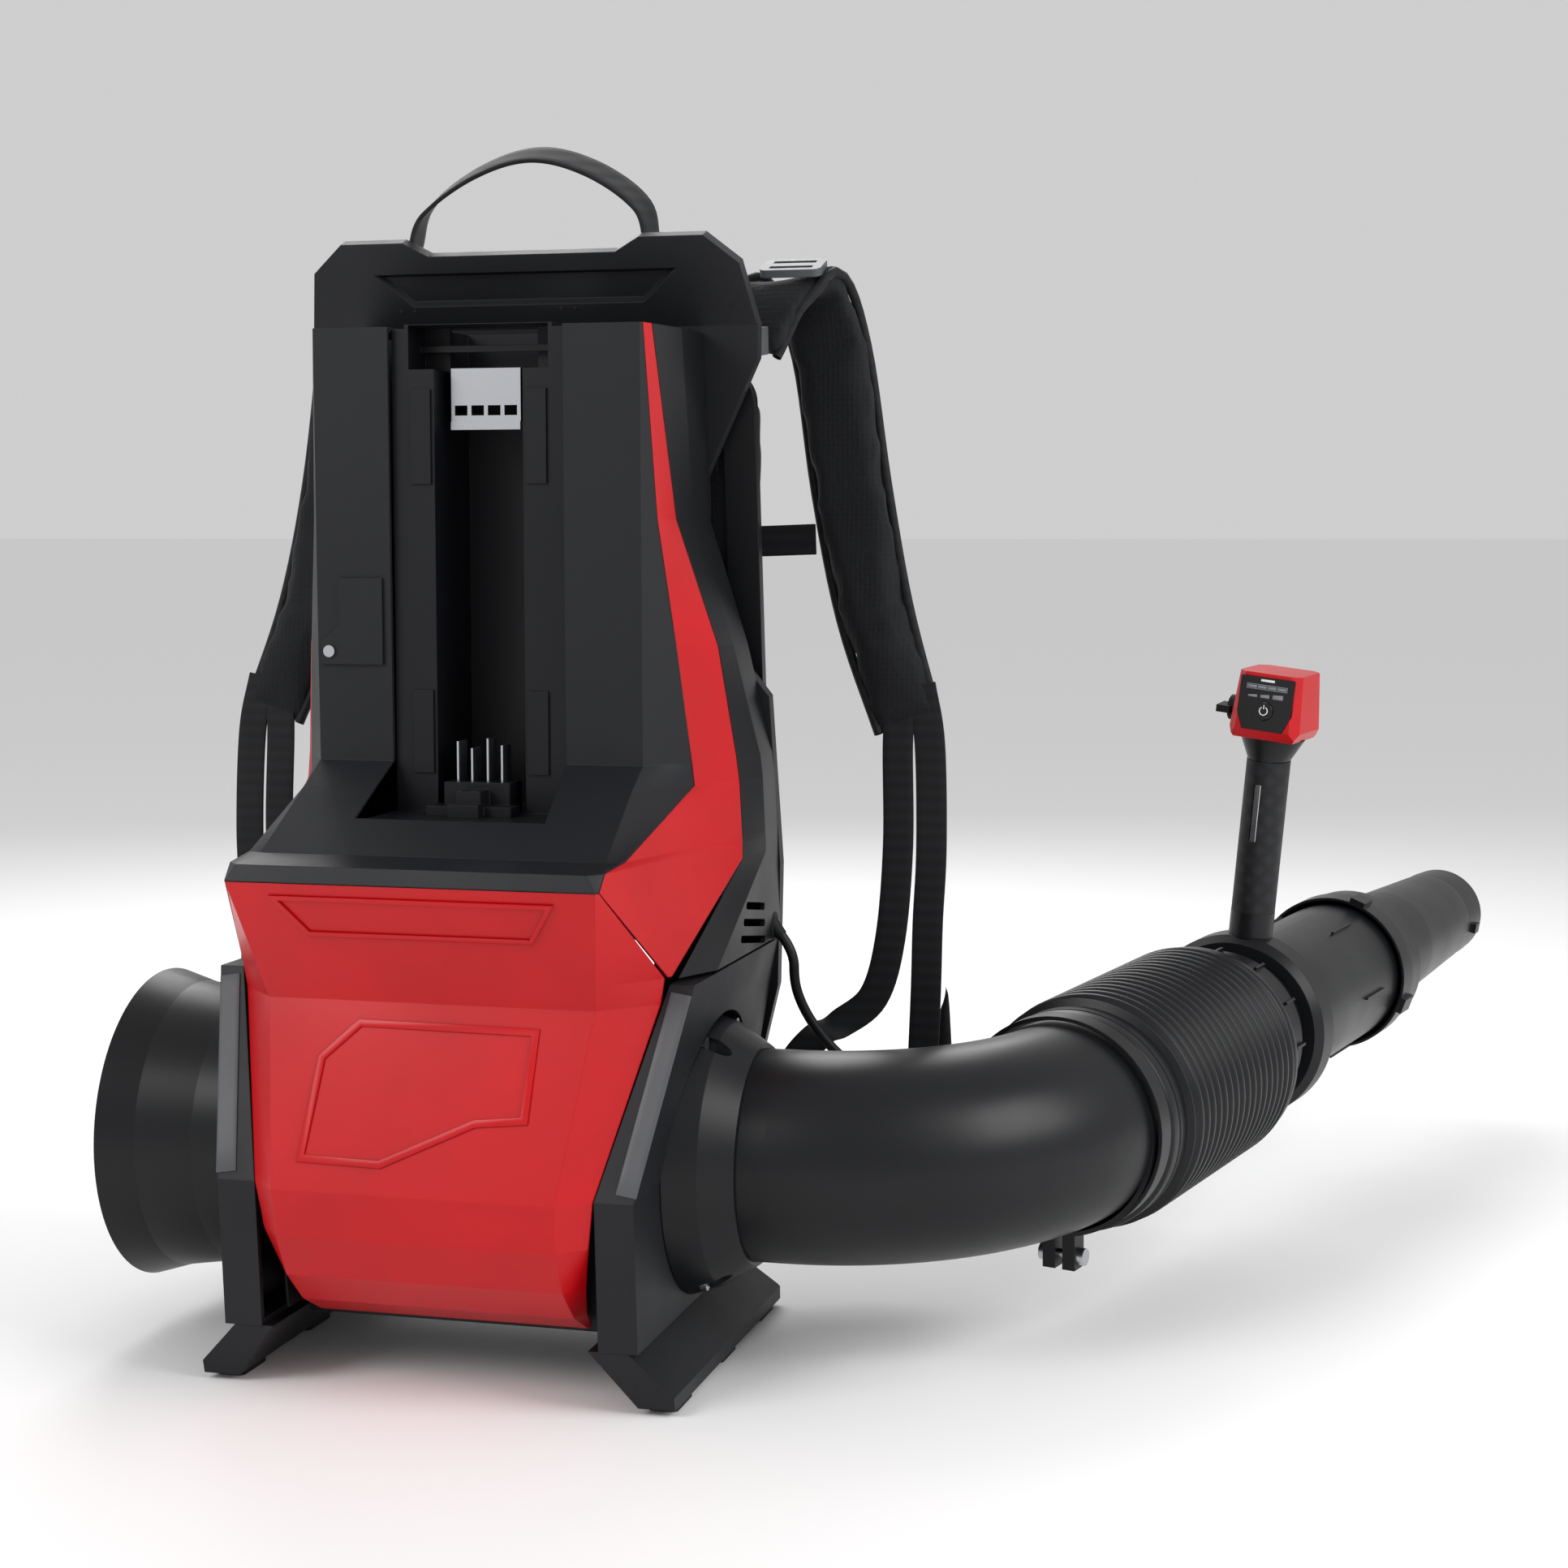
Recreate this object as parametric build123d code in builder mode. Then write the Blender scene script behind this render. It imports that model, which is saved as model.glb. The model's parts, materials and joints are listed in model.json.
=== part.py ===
"""Battery backpack leaf blower: casing, fan, swivelling duct with control handle, and harness.

Millimetres, +Z up. The blower stands on its feet on Z = 0. +Y points from the front panel to the
wearer's back, and the duct leaves on the +X side and turns towards +Y.
The design frame has X = 0 midway between the feet and Y = 0 at the front of the feet. At export
every piece is moved by one shift, so that the origin is at the bottom centre of the whole box.
"""

from build123d import *
import os
from math import cos, pi, radians, sin, tan

# ---------------------------------------------------------------- driving dimensions
FIT = 0.06  # radial running clearance where one piece turns in another
GAP = 0.4  # parting gap between casing pieces
SOFT_GAP = 0.5  # air round soft pieces
WALL = 3.0  # casing wall
END_BEVEL = 0.9  # share of the wall by which a casing piece's end is bevelled inwards

FOOT_LENGTH = 246.0
FOOT_OUTER = 146.0  # half width over the feet
LEG_TOP_Z = 243.0
KINK_Z = 126.0  # height where the leg frame starts to flare
FOOT_TOP_Z = 38.0
PAD_HEIGHT = 4.0
LEG_INNER = 103.6  # half width inside the leg frames
LEG_OUTER = 127.0
LEG_FLARE = 21.0  # how far the leg frames lean out between the kink and their top
LEG_WALL = 4.0

TOWER_TOP_Z = 623.0
LIP_Z = 303.5
BACK_TOP_Y = 192.0  # wearer-side face of the back frame at the crease
BACK_TOP_Z = 630.0
BACK_LEAN = 6.5
FLANGE_LEAN = 22.0
BACK_THICK = 9.0

BAY_HALF = 55.0
BAY_FLOOR_Z = 331.0
BAY_WALL = 2.5
STEP_Y = 90.0  # face that the battery's sides slide on
CHANNEL_HALF = 28.0  # half width of the deep middle channel
CHANNEL_BACK_Y = 150.0

AXIS_Y = 122.0  # fan axis
AXIS_Z = 127.0
FAN_R = 80.0
HOUSING_WALL = 3.5
FAN_HALF = 102.0
SHAFT_R = 4.0
MOTOR_R = 30.0
BLADES = 11
VANES = 7

DUCT_R = 64.0
DUCT_WALL = 3.5
COLLAR_TIP_X = 166.0
COLLAR_R = 86.0
ELBOW_LEAD = 17.0
ELBOW_R = 157.0
ELBOW_TURN = 74.0
ELBOW_TILT = 3.0
FLANGE_R = 70.5
BELLOWS_LENGTH = 245.0
BELLOWS_OVERLAP = 16.0
RIB_COUNT = 17
RIB_R = 76.0
VALLEY_R = 71.0
TUBE_R = 54.0
TUBE_REAR_R = 60.0  # behind the handle
TUBE_WALL = 3.5
TUBE_LENGTH = 292.0
NOZZLE_LENGTH = 240.0
NOZZLE_ROOT_R = 43.5
NOZZLE_TIP_R = 37.0
COUPLING_R = 59.5
RING_R = 67.5
HANDLE_LEAN = 5.5  # the handle leans out from straight above the duct
HANDLE_AT = 301.0  # distance of the handle from the elbow's end
GRIP_LENGTH = 110.0
GRIP_WIDE = 29.0
GRIP_DEEP = 35.0
HEAD_HEIGHT = 47.0
HEAD_WIDE = 52.0
HEAD_DEEP = 48.0

CABLE_R = 3.25
WEBBING = 25.0
WEB_THICK = 2.0


def back_y(z):
    """Y of the back frame's wearer-side face at height z."""
    return BACK_TOP_Y + (BACK_TOP_Z - z) * tan(radians(BACK_LEAN))


def casing_rear(z):
    """Y where the casing's side walls end, just in front of the back frame."""
    return back_y(z) - BACK_THICK / cos(radians(BACK_LEAN)) - GAP


PLACE = Location((-166.6, -480.9, 0))
made = []


def save(piece, name):
    """Label a finished piece and write it, in the export frame."""
    piece.label = name
    moved = piece.moved(PLACE)
    moved.label = name
    export_step(moved, f"parts/{name}.step")
    made.append(name)


os.makedirs("parts", exist_ok=True)


# ---------------------------------------------------------------- casing outline
# Right half of the casing at each level: height, column corner, chamfer corner, crease, flank.
LEVELS = [
    (LIP_Z, (111.0, -30.0), (112.5, -27.0), (146.0, 150.0), (150.0, 190.0)),
    (313.0, (105.3, -27.0), (113.0, -18.0), (145.5, 152.0), (150.0, 189.0)),
    (316.0, (105.3, 6.0), (115.0, 12.0), (145.0, 153.0), (150.0, 188.0)),
    (350.0, (102.8, 62.0), (124.0, 120.0), (142.5, 156.0), (149.0, 186.0)),
    (364.0, (102.5, 86.0), (123.0, 118.0), (141.0, 155.0), (148.0, 184.0)),
    (433.0, (102.5, 85.0), (117.0, 107.0), (133.0, 142.0), (134.0, 172.0)),
    (509.0, (102.5, 84.5), (109.0, 96.0), (112.0, 125.0), (112.5, 160.0)),
    (TOWER_TOP_Z, (102.5, 84.0), (103.6, 86.0), (106.0, 97.0), (112.5, 135.0)),
]
# Right half of the front panel: height, face corner, side corner.
FRONT = [
    (39.0, (84.0, 33.0), (84.6, 40.0)),
    (52.0, (84.2, 8.0), (88.5, 20.0)),
    (72.0, (84.5, -13.0), (94.0, 2.0)),
    (98.0, (85.0, -26.0), (99.5, -10.0)),
    (KINK_Z, (85.6, -30.0), (103.2, -13.6)),
    (232.0, (100.0, 3.0), (129.0, 34.5)),
    (247.0, (102.3, -3.9), (131.4, 34.2)),
    (LIP_Z - GAP, (111.0, -29.6), (112.2, -26.0)),
]


def inward(points, wall):
    """Offset an open run of plan points to the left of its direction by the wall."""
    result = []
    for i, point in enumerate(points):
        here = Vector(*point)
        before = Vector(*points[max(i - 1, 0)])
        after = Vector(*points[min(i + 1, len(points) - 1)])
        normals = [
            (b - a).normalized().rotate(Axis.Z, 90)
            for a, b in ((before, here), (here, after))
            if (b - a).length > 0
        ]
        middle = sum(normals, Vector(0, 0, 0)).normalized()
        reach = wall / max(middle.dot(normals[0]), 0.5)
        moved = here + middle * reach
        if i == 0:
            moved += (after - here).normalized() * min(wall * END_BEVEL, 0.3 * (after - here).length)
        if i == len(points) - 1:
            moved -= (here - before).normalized() * min(wall * END_BEVEL, 0.3 * (here - before).length)
        result.append((moved.X, moved.Y))
    return result


def strip_face(z, run, wall=WALL):
    """Plan section of a wall that follows the run of outer points."""
    with BuildSketch(Plane.XY.offset(z)) as section:
        with BuildLine():
            Polyline(*run, *reversed(inward(run, wall)), close=True)
        make_face()
    return section.sketch


def mirrored(run):
    """The run from the left end round to its mirror image on the right."""
    return [(-x, y) for x, y in reversed(run)] + list(run)


# Tower housing: both columns, the sloped shelf and the lip, open at the back.
with BuildPart() as tower_housing:
    for level, column, chamfer_corner, crease, flank in LEVELS:
        add(strip_face(level, mirrored([column, chamfer_corner])))
    loft(ruled=True)
    with BuildSketch(Plane.XY.offset(TOWER_TOP_Z - WALL)):
        with BuildLine():
            Polyline(
                (-100, 85), (100, 85), (101, 96), (101, 150), (-101, 150), (-101, 96), close=True
            )
        make_face()
    extrude(amount=WALL)
    with BuildSketch(Plane.XZ.offset(-CHANNEL_BACK_Y - 20)):
        with BuildLine():
            Polyline(
                (-BAY_HALF - 4, BAY_FLOOR_Z + 3),
                (BAY_HALF + 4, BAY_FLOOR_Z + 3),
                (BAY_HALF, BAY_FLOOR_Z + 34),
                (BAY_HALF, TOWER_TOP_Z + 1),
                (-BAY_HALF, TOWER_TOP_Z + 1),
                (-BAY_HALF, BAY_FLOOR_Z + 34),
                close=True,
            )
        make_face()
    extrude(amount=300, mode=Mode.SUBTRACT)
save(tower_housing.part, "tower_housing")


# Front panel: the red lower cover, undercut below the lip and rolled under at the bottom.
with BuildPart() as front_panel:
    for level, corner, side in FRONT:
        add(strip_face(level, mirrored([corner, side])))
    loft(ruled=True)
save(front_panel.part, "front_panel")


# Side panels: the red band from the column tops to a point above each leg.
def side_panel():
    with BuildPart() as panel:
        tip = (247.5, (132.6, 36.0), (134.2, 40.0))
        for level, run in [(tip[0], tip[1:])] + [(lv[0], (lv[2], lv[3])) for lv in LEVELS]:
            start, end = Vector(*run[0]), Vector(*run[1])
            along = (end - start).normalized() * GAP
            ends = [start + along, end - along]
            add(strip_face(level, [(p.X, p.Y) for p in ends]))
        loft(ruled=True)
    return panel.part


# Side covers: the dark flanks behind the red bands, with louvres and the cable gland's hole.
GLAND_Y = 213.0
GLAND_Z = 253.0
GLAND_R = 9.0


def side_cover(with_vents):
    with BuildPart() as cover:
        low = (LEG_TOP_Z + GAP + 2, (136.0, 46.0), (149.5, 80.0))
        for level, crease, flank in [low] + [(lv[0], lv[3], lv[4]) for lv in LEVELS]:
            rear = (flank[0], casing_rear(level))
            add(strip_face(level, [crease, flank, rear]))
        loft(ruled=True)
        if with_vents:
            for row in range(3):
                with BuildSketch(Plane.YZ.offset(120)):
                    with Locations((166 - 2.5 * row, 272 - 10 * row)):
                        SlotOverall(44 + 7 * row, 4.6, rotation=-8)
                extrude(amount=60, mode=Mode.SUBTRACT)
            with BuildSketch(Plane.YZ.offset(120)):
                with Locations((GLAND_Y, GLAND_Z)):
                    Circle(GLAND_R)
            extrude(amount=60, mode=Mode.SUBTRACT)
    return cover.part


save(side_panel(), "side_panel_right")
save(mirror(side_panel(), about=Plane.YZ), "side_panel_left")
save(side_cover(True), "side_cover_right")
save(mirror(side_cover(False), about=Plane.YZ), "side_cover_left")


# ---------------------------------------------------------------- battery bay
LINER_HALF = BAY_HALF - GAP
NOTCH_Z = 598.0  # the guide steps stop here, below the open top corners
NOTCH_HALF = 44.0
with BuildPart() as bay_liner:
    with BuildSketch(Plane.XY.offset(BAY_FLOOR_Z)):
        with Locations((0, STEP_Y + BAY_WALL / 2)):
            Rectangle(2 * LINER_HALF, BAY_WALL)
        with Locations((0, (STEP_Y + CHANNEL_BACK_Y) / 2)):
            Rectangle(2 * (CHANNEL_HALF + BAY_WALL), CHANNEL_BACK_Y - STEP_Y)
        with Locations((0, (STEP_Y + CHANNEL_BACK_Y) / 2 - BAY_WALL)):
            Rectangle(2 * CHANNEL_HALF, CHANNEL_BACK_Y - STEP_Y, mode=Mode.SUBTRACT)
    extrude(amount=TOWER_TOP_Z - BAY_FLOOR_Z - 1)
    # open top corners with their own back wall, and the cross bar
    with Locations((0, (STEP_Y + 120) / 2, (NOTCH_Z + TOWER_TOP_Z - 1) / 2)):
        Box(2 * NOTCH_HALF + 2 * BAY_WALL, 120 - STEP_Y, TOWER_TOP_Z - 1 - NOTCH_Z + 2 * BAY_WALL)
    with Locations((0, (STEP_Y + 120) / 2 - BAY_WALL, (NOTCH_Z + TOWER_TOP_Z + 1) / 2)):
        Box(2 * NOTCH_HALF, 120 - STEP_Y, TOWER_TOP_Z + 1 - NOTCH_Z, mode=Mode.SUBTRACT)
    with Locations((0, (STEP_Y + CHANNEL_BACK_Y) / 2 - BAY_WALL, (BAY_FLOOR_Z + TOWER_TOP_Z) / 2)):
        Box(2 * CHANNEL_HALF, CHANNEL_BACK_Y - STEP_Y, TOWER_TOP_Z - BAY_FLOOR_Z + 2, mode=Mode.SUBTRACT)
    with Locations((0, 112, 611)):
        Box(2 * NOTCH_HALF, 4, 4)
    # floor, reaching forward under the shelf's cut-out
    with Locations((0, (41.0 + CHANNEL_BACK_Y) / 2, BAY_FLOOR_Z)):
        Box(2 * LINER_HALF, CHANNEL_BACK_Y - 41.0, BAY_WALL, align=(Align.CENTER, Align.CENTER, Align.MIN))
save(bay_liner.part, "bay_liner")

with BuildPart() as bay_pads:
    for side in (-1, 1):
        for middle, height in ((558.0, 56.0), (382.0, 50.0)):
            with Locations((side * (CHANNEL_HALF + 8.5), STEP_Y - 0.8, middle)):
                Box(13, 1.6, height)
save(bay_pads.part, "bay_pads")

STRIKE_Z = 583.0
STRIKE_Y = 104.0
with BuildPart() as latch_strike:
    with Locations((0, STRIKE_Y, STRIKE_Z)):
        Box(44, 2, 32)
    for end in (-1, 1):
        with Locations((0, (STRIKE_Y + CHANNEL_BACK_Y - BAY_WALL) / 2, STRIKE_Z + end * 15)):
            Box(44, CHANNEL_BACK_Y - BAY_WALL - STRIKE_Y, 2)
    with Locations((0, STRIKE_Y - 1, STRIKE_Z - 18)):
        Box(44, 2, 5)
    with Locations((0, STRIKE_Y, STRIKE_Z - 9)):
        with GridLocations(10.5, 1, 4, 1):
            Box(8, 4, 6, mode=Mode.SUBTRACT)
save(latch_strike.part, "latch_strike")

BLOCK_Z = BAY_FLOOR_Z + BAY_WALL
BLOCK_TOP = BLOCK_Z + 19
BLOCK_Y = 92.0
UP = (Align.CENTER, Align.CENTER, Align.MIN)
with BuildPart() as terminal_block:
    with Locations((0, BLOCK_Y, BLOCK_Z)):
        Box(42, 22, BLOCK_TOP - BLOCK_Z, align=UP)
    with Locations((0, 74.0, BLOCK_Z)):
        Box(54, 16, 6, align=UP)
        Box(16, 16, 15, align=UP)
    with Locations((0, 62.0, BLOCK_Z)):
        Box(20, 10, 8, align=UP)
    fillet(terminal_block.edges().filter_by(Axis.Z), 0.8)
save(terminal_block.part, "terminal_block")

with BuildPart() as terminal_blades:
    for place, height in ((-14, 24), (-5, 20), (5, 26), (14, 22)):
        with Locations((place, BLOCK_Y + 2, BLOCK_TOP)):
            Box(1.2, 14, height, align=UP)
save(terminal_blades.part, "terminal_blades")

with BuildPart() as service_door:
    with BuildSketch(Plane.XZ.offset(-84.4)):
        with BuildLine():
            Polyline((-100, 422), (-60, 422), (-60, 474), (-88, 474), (-88, 445), (-100, 436), close=True)
        make_face()
    extrude(amount=1.6)
    with Locations(Plane.XZ.offset(-82.8) * Location((-94, 430, 0))):
        Hole(2.2, depth=4)
save(service_door.part, "service_door")

# ---------------------------------------------------------------- back frame
BACK = Plane(
    origin=(0, BACK_TOP_Y, BACK_TOP_Z),
    x_dir=(1, 0, 0),
    z_dir=(0, -cos(radians(BACK_LEAN)), -sin(radians(BACK_LEAN))),
)
FLANGE = Plane(
    origin=(0, BACK_TOP_Y, BACK_TOP_Z),
    x_dir=(1, 0, 0),
    z_dir=(0, -cos(radians(FLANGE_LEAN)), -sin(radians(FLANGE_LEAN))),
)
BACK_SIDE = [(147, 0), (146, -22), (108, -100), (104, -140), (112, -186), (147, -232)]
BACK_SIDE += [(151, -340), (147, -420), (126, -500), (112, -560)]
FLANGE_SIDE = [(147, -2), (139, 40), (118, 58), (77, 58), (61, 49)]

with BuildPart() as back_frame:
    with BuildSketch(BACK):
        with BuildLine():
            Polyline(*BACK_SIDE, *[(-x, s) for x, s in reversed(BACK_SIDE)], close=True)
        make_face()
        with Locations((0, -300)):
            Rectangle(150, 300, mode=Mode.SUBTRACT)
    extrude(amount=BACK_THICK)
    with BuildSketch(FLANGE):
        with BuildLine():
            Polyline(*FLANGE_SIDE, *[(-x, s) for x, s in reversed(FLANGE_SIDE)], close=True)
        make_face()
    extrude(amount=BACK_THICK)
    with BuildSketch(FLANGE.offset(BACK_THICK)):
        with BuildLine():
            Polyline((-99, 38), (99, 38), (76, 17), (-76, 17), close=True)
        make_face()
    extrude(amount=-4, taper=30, mode=Mode.SUBTRACT)
save(back_frame.part, "back_frame")

# ---------------------------------------------------------------- leg frames and feet
LEG_SIDE = [(38.5, LEG_TOP_Z), (-13.5, KINK_Z), (-7, FOOT_TOP_Z), (226, FOOT_TOP_Z)]
LEG_SIDE += [(228, KINK_Z), (casing_rear(LEG_TOP_Z), LEG_TOP_Z)]


def leaning_slab(inner, outer):
    """Solid between two surfaces that stand upright below the kink and lean out above it."""
    with BuildPart() as slab:
        with BuildSketch(Plane.XZ.offset(100)):
            with BuildLine():
                Polyline(
                    (inner, 0),
                    (outer, 0),
                    (outer, KINK_Z),
                    (outer + LEG_FLARE * 1.5, KINK_Z + 1.5 * (LEG_TOP_Z - KINK_Z)),
                    (inner + LEG_FLARE * 2.1, KINK_Z + 1.5 * (LEG_TOP_Z - KINK_Z)),
                    (inner, KINK_Z),
                    close=True,
                )
            make_face()
        extrude(amount=-400)
    return slab.part


def leg_frame(hole_r, seat_r):
    """Right leg frame: a hollow side casting with a round hole and seat on the fan axis."""
    with BuildPart() as frame:
        with BuildSketch(Plane.YZ.offset(90)):
            with BuildLine():
                Polyline(*LEG_SIDE, close=True)
            make_face()
        extrude(amount=80)
        add(leaning_slab(LEG_INNER, LEG_OUTER), mode=Mode.INTERSECT)
        with BuildSketch(Plane.YZ.offset(90)):
            with BuildLine():
                Polyline(*LEG_SIDE, close=True)
            make_face()
            offset(amount=-LEG_WALL, kind=Kind.INTERSECTION)
            with Locations((AXIS_Y, AXIS_Z)):
                Circle(FAN_R + 12, mode=Mode.SUBTRACT)
        pocket = extrude(amount=80, mode=Mode.PRIVATE)
        add(pocket & leaning_slab(LEG_INNER - 5, LEG_OUTER - LEG_WALL), mode=Mode.SUBTRACT)
        with BuildSketch(Plane.YZ.offset(90)):
            with Locations((AXIS_Y, AXIS_Z)):
                Circle(hole_r)
        extrude(amount=80, mode=Mode.SUBTRACT)
        with BuildSketch(Plane.YZ.offset(LEG_OUTER)):
            with Locations((AXIS_Y, AXIS_Z)):
                Circle(seat_r)
        extrude(amount=60, mode=Mode.SUBTRACT)
    return frame.part


def foot():
    """Right foot: a splayed skid under the leg frame."""
    with BuildPart() as skid:
        with BuildSketch(Plane.XZ.offset(6)):
            with BuildLine():
                Polyline(
                    (97, FOOT_TOP_Z),
                    (121, FOOT_TOP_Z),
                    (FOOT_OUTER, 12),
                    (FOOT_OUTER, PAD_HEIGHT),
                    (FOOT_OUTER - 22, PAD_HEIGHT),
                    close=True,
                )
            make_face()
        extrude(amount=-FOOT_LENGTH)
        with BuildSketch(Plane.YZ.offset(80)):
            with BuildLine():
                Polyline((-10, 0), (4, 0), (-6.5, FOOT_TOP_Z + 1), (-10, FOOT_TOP_Z + 1), close=True)
            make_face()
        extrude(amount=80, mode=Mode.SUBTRACT)
        with BuildSketch(Plane.YZ.offset(80)):
            with BuildLine():
                Polyline((250, 0), (241, 12), (222, FOOT_TOP_Z + 1), (250, FOOT_TOP_Z + 1), close=True)
            make_face()
        extrude(amount=80, mode=Mode.SUBTRACT)
    return skid.part


save(leg_frame(DUCT_R + 2, COLLAR_R + GAP), "leg_frame_right")
save(mirror(leg_frame(FAN_R + 3, COLLAR_R + GAP), about=Plane.YZ), "leg_frame_left")
with BuildPart() as feet:
    add(foot())
    mirror(about=Plane.YZ)
save(feet.part, "feet")

with BuildPart() as foot_pads:
    for side in (-1, 1):
        for along in (30, 125, 215):
            with Locations((side * (FOOT_OUTER - 11), along, PAD_HEIGHT / 2)):
                Box(18, 34, PAD_HEIGHT)
    fillet(foot_pads.edges().filter_by(Axis.Z), 4)
save(foot_pads.part, "foot_pads")

# ---------------------------------------------------------------- fan and air path
SIDE_PROFILE = Plane(origin=(0, AXIS_Y, AXIS_Z), x_dir=(1, 0, 0), z_dir=(0, -1, 0))
FAN_AXIS = Axis((0, AXIS_Y, AXIS_Z), (1, 0, 0))


def turned(points):
    """Solid of revolution about the fan axis from (x, radius) points."""
    with BuildPart() as body:
        with BuildSketch(SIDE_PROFILE):
            with BuildLine():
                Polyline(*points, close=True)
            make_face()
        revolve(axis=FAN_AXIS)
    return body.part


fan_housing = turned(
    [
        (-FAN_HALF, FAN_R),
        (30, FAN_R),
        (FAN_HALF, DUCT_R - 2),
        (FAN_HALF, DUCT_R - 2 + HOUSING_WALL),
        (30, FAN_R + HOUSING_WALL),
        (-FAN_HALF, FAN_R + HOUSING_WALL),
    ]
)
save(fan_housing, "fan_housing")

bell = [(-104, FAN_R - 0.5), (-128, FAN_R - 0.5), (-170, 82.0), (-205, 87.0), (-228, 94.0)]
intake_bell = turned(bell + [(x, r + 3.0) for x, r in reversed(bell)])
save(intake_bell, "intake_bell")

GUARD_WIRE = 3.0
GUARD_RINGS = (FAN_R - 0.6, 63.5, 49.5, 35.5, 21.5)
with BuildPart() as intake_guard:
    with BuildSketch(Plane.YZ.offset(-122)):
        with Locations((AXIS_Y, AXIS_Z)):
            for ring in GUARD_RINGS:
                Circle(ring)
                Circle(ring - GUARD_WIRE, mode=Mode.SUBTRACT)
            for bar in range(4):
                Rectangle(2 * (FAN_R - 2), GUARD_WIRE, rotation=45 * bar)
    extrude(amount=GUARD_WIRE)
save(intake_guard.part, "intake_guard")

SCREW_CIRCLE = 79.5
SCREW_TURNS = (65, 115, 245, 295)
SCREW_SPOTS = [
    (SCREW_CIRCLE * cos(radians(turn)), SCREW_CIRCLE * sin(radians(turn))) for turn in SCREW_TURNS
]
outlet_collar = turned(
    [
        (LEG_OUTER + GAP, FLANGE_R + 0.5),
        (136.0, FLANGE_R + 0.5),
        (136.0, DUCT_R + FIT),
        (COLLAR_TIP_X, DUCT_R + FIT),
        (COLLAR_TIP_X, DUCT_R + 2.5),
        (147.0, 79.0),
        (LEG_OUTER + GAP, COLLAR_R),
    ]
)
with BuildPart() as collar:
    add(outlet_collar)
    with BuildSketch(Plane.YZ.offset(COLLAR_TIP_X)):
        with Locations((AXIS_Y, AXIS_Z)):
            with Locations(*SCREW_SPOTS):
                Circle(6)
    extrude(amount=-(COLLAR_TIP_X - 137), mode=Mode.SUBTRACT)
    with BuildSketch(Plane.YZ.offset(COLLAR_TIP_X)):
        with Locations((AXIS_Y, AXIS_Z)):
            with Locations(*SCREW_SPOTS):
                Circle(2.3)
    extrude(amount=-60, mode=Mode.SUBTRACT)
save(collar.part, "outlet_collar")

with BuildPart() as casing_screws:
    with BuildSketch(Plane.YZ.offset(137)):
        with Locations((AXIS_Y, AXIS_Z)):
            with Locations(*SCREW_SPOTS):
                Circle(4.5)
    extrude(amount=4)
    with BuildSketch(Plane.YZ.offset(137)):
        with Locations((AXIS_Y, AXIS_Z)):
            with Locations(*SCREW_SPOTS):
                Circle(2.25)
    extrude(amount=-(137 - LEG_OUTER - 0.6))
    with Locations(Plane.XZ.offset(-82.7) * Location((-94, 430, 0))):
        Cylinder(3.6, 1.8, align=(Align.CENTER, Align.CENTER, Align.MIN))
save(casing_screws.part, "casing_screws")

# Stator: a motor sleeve held on straight vanes, and the motor inside it.
with BuildPart() as stator:
    with BuildSketch(Plane.YZ.offset(-12)):
        with Locations((AXIS_Y, AXIS_Z)):
            Circle(MOTOR_R + 3)
            with PolarLocations((MOTOR_R + FAN_R) / 2 + 1, VANES):
                Rectangle(FAN_R - MOTOR_R - 3, 3)
    extrude(amount=40)
    with BuildSketch(Plane.YZ.offset(-12)):
        with Locations((AXIS_Y, AXIS_Z)):
            Circle(FAN_R)
    extrude(amount=40, mode=Mode.INTERSECT)
    with BuildSketch(Plane.YZ.offset(28)):
        with Locations((AXIS_Y, AXIS_Z)):
            Circle(MOTOR_R + 3)
    extrude(amount=50)
    with BuildSketch(Plane.YZ.offset(-12)):
        with Locations((AXIS_Y, AXIS_Z)):
            Circle(MOTOR_R)
    extrude(amount=86, mode=Mode.SUBTRACT)
    with BuildSketch(Plane.YZ.offset(73)):
        with Locations((AXIS_Y, AXIS_Z)):
            Circle(MOTOR_R + 3)
    extrude(amount=26, taper=38)
save(stator.part, "stator")

with BuildPart() as motor:
    with BuildSketch(Plane.YZ.offset(-8)):
        with Locations((AXIS_Y, AXIS_Z)):
            Circle(MOTOR_R)
            Circle(SHAFT_R + FIT, mode=Mode.SUBTRACT)
    extrude(amount=76)
    fillet(motor.edges().filter_by(GeomType.CIRCLE).group_by(SortBy.RADIUS)[-1], 2)
save(motor.part, "motor")

with BuildPart() as motor_shaft:
    with Locations(Plane.YZ.offset(-62) * Location((AXIS_Y, AXIS_Z, 0))):
        Cylinder(SHAFT_R, 128, align=(Align.CENTER, Align.CENTER, Align.MIN))
save(motor_shaft.part, "motor_shaft")

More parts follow.
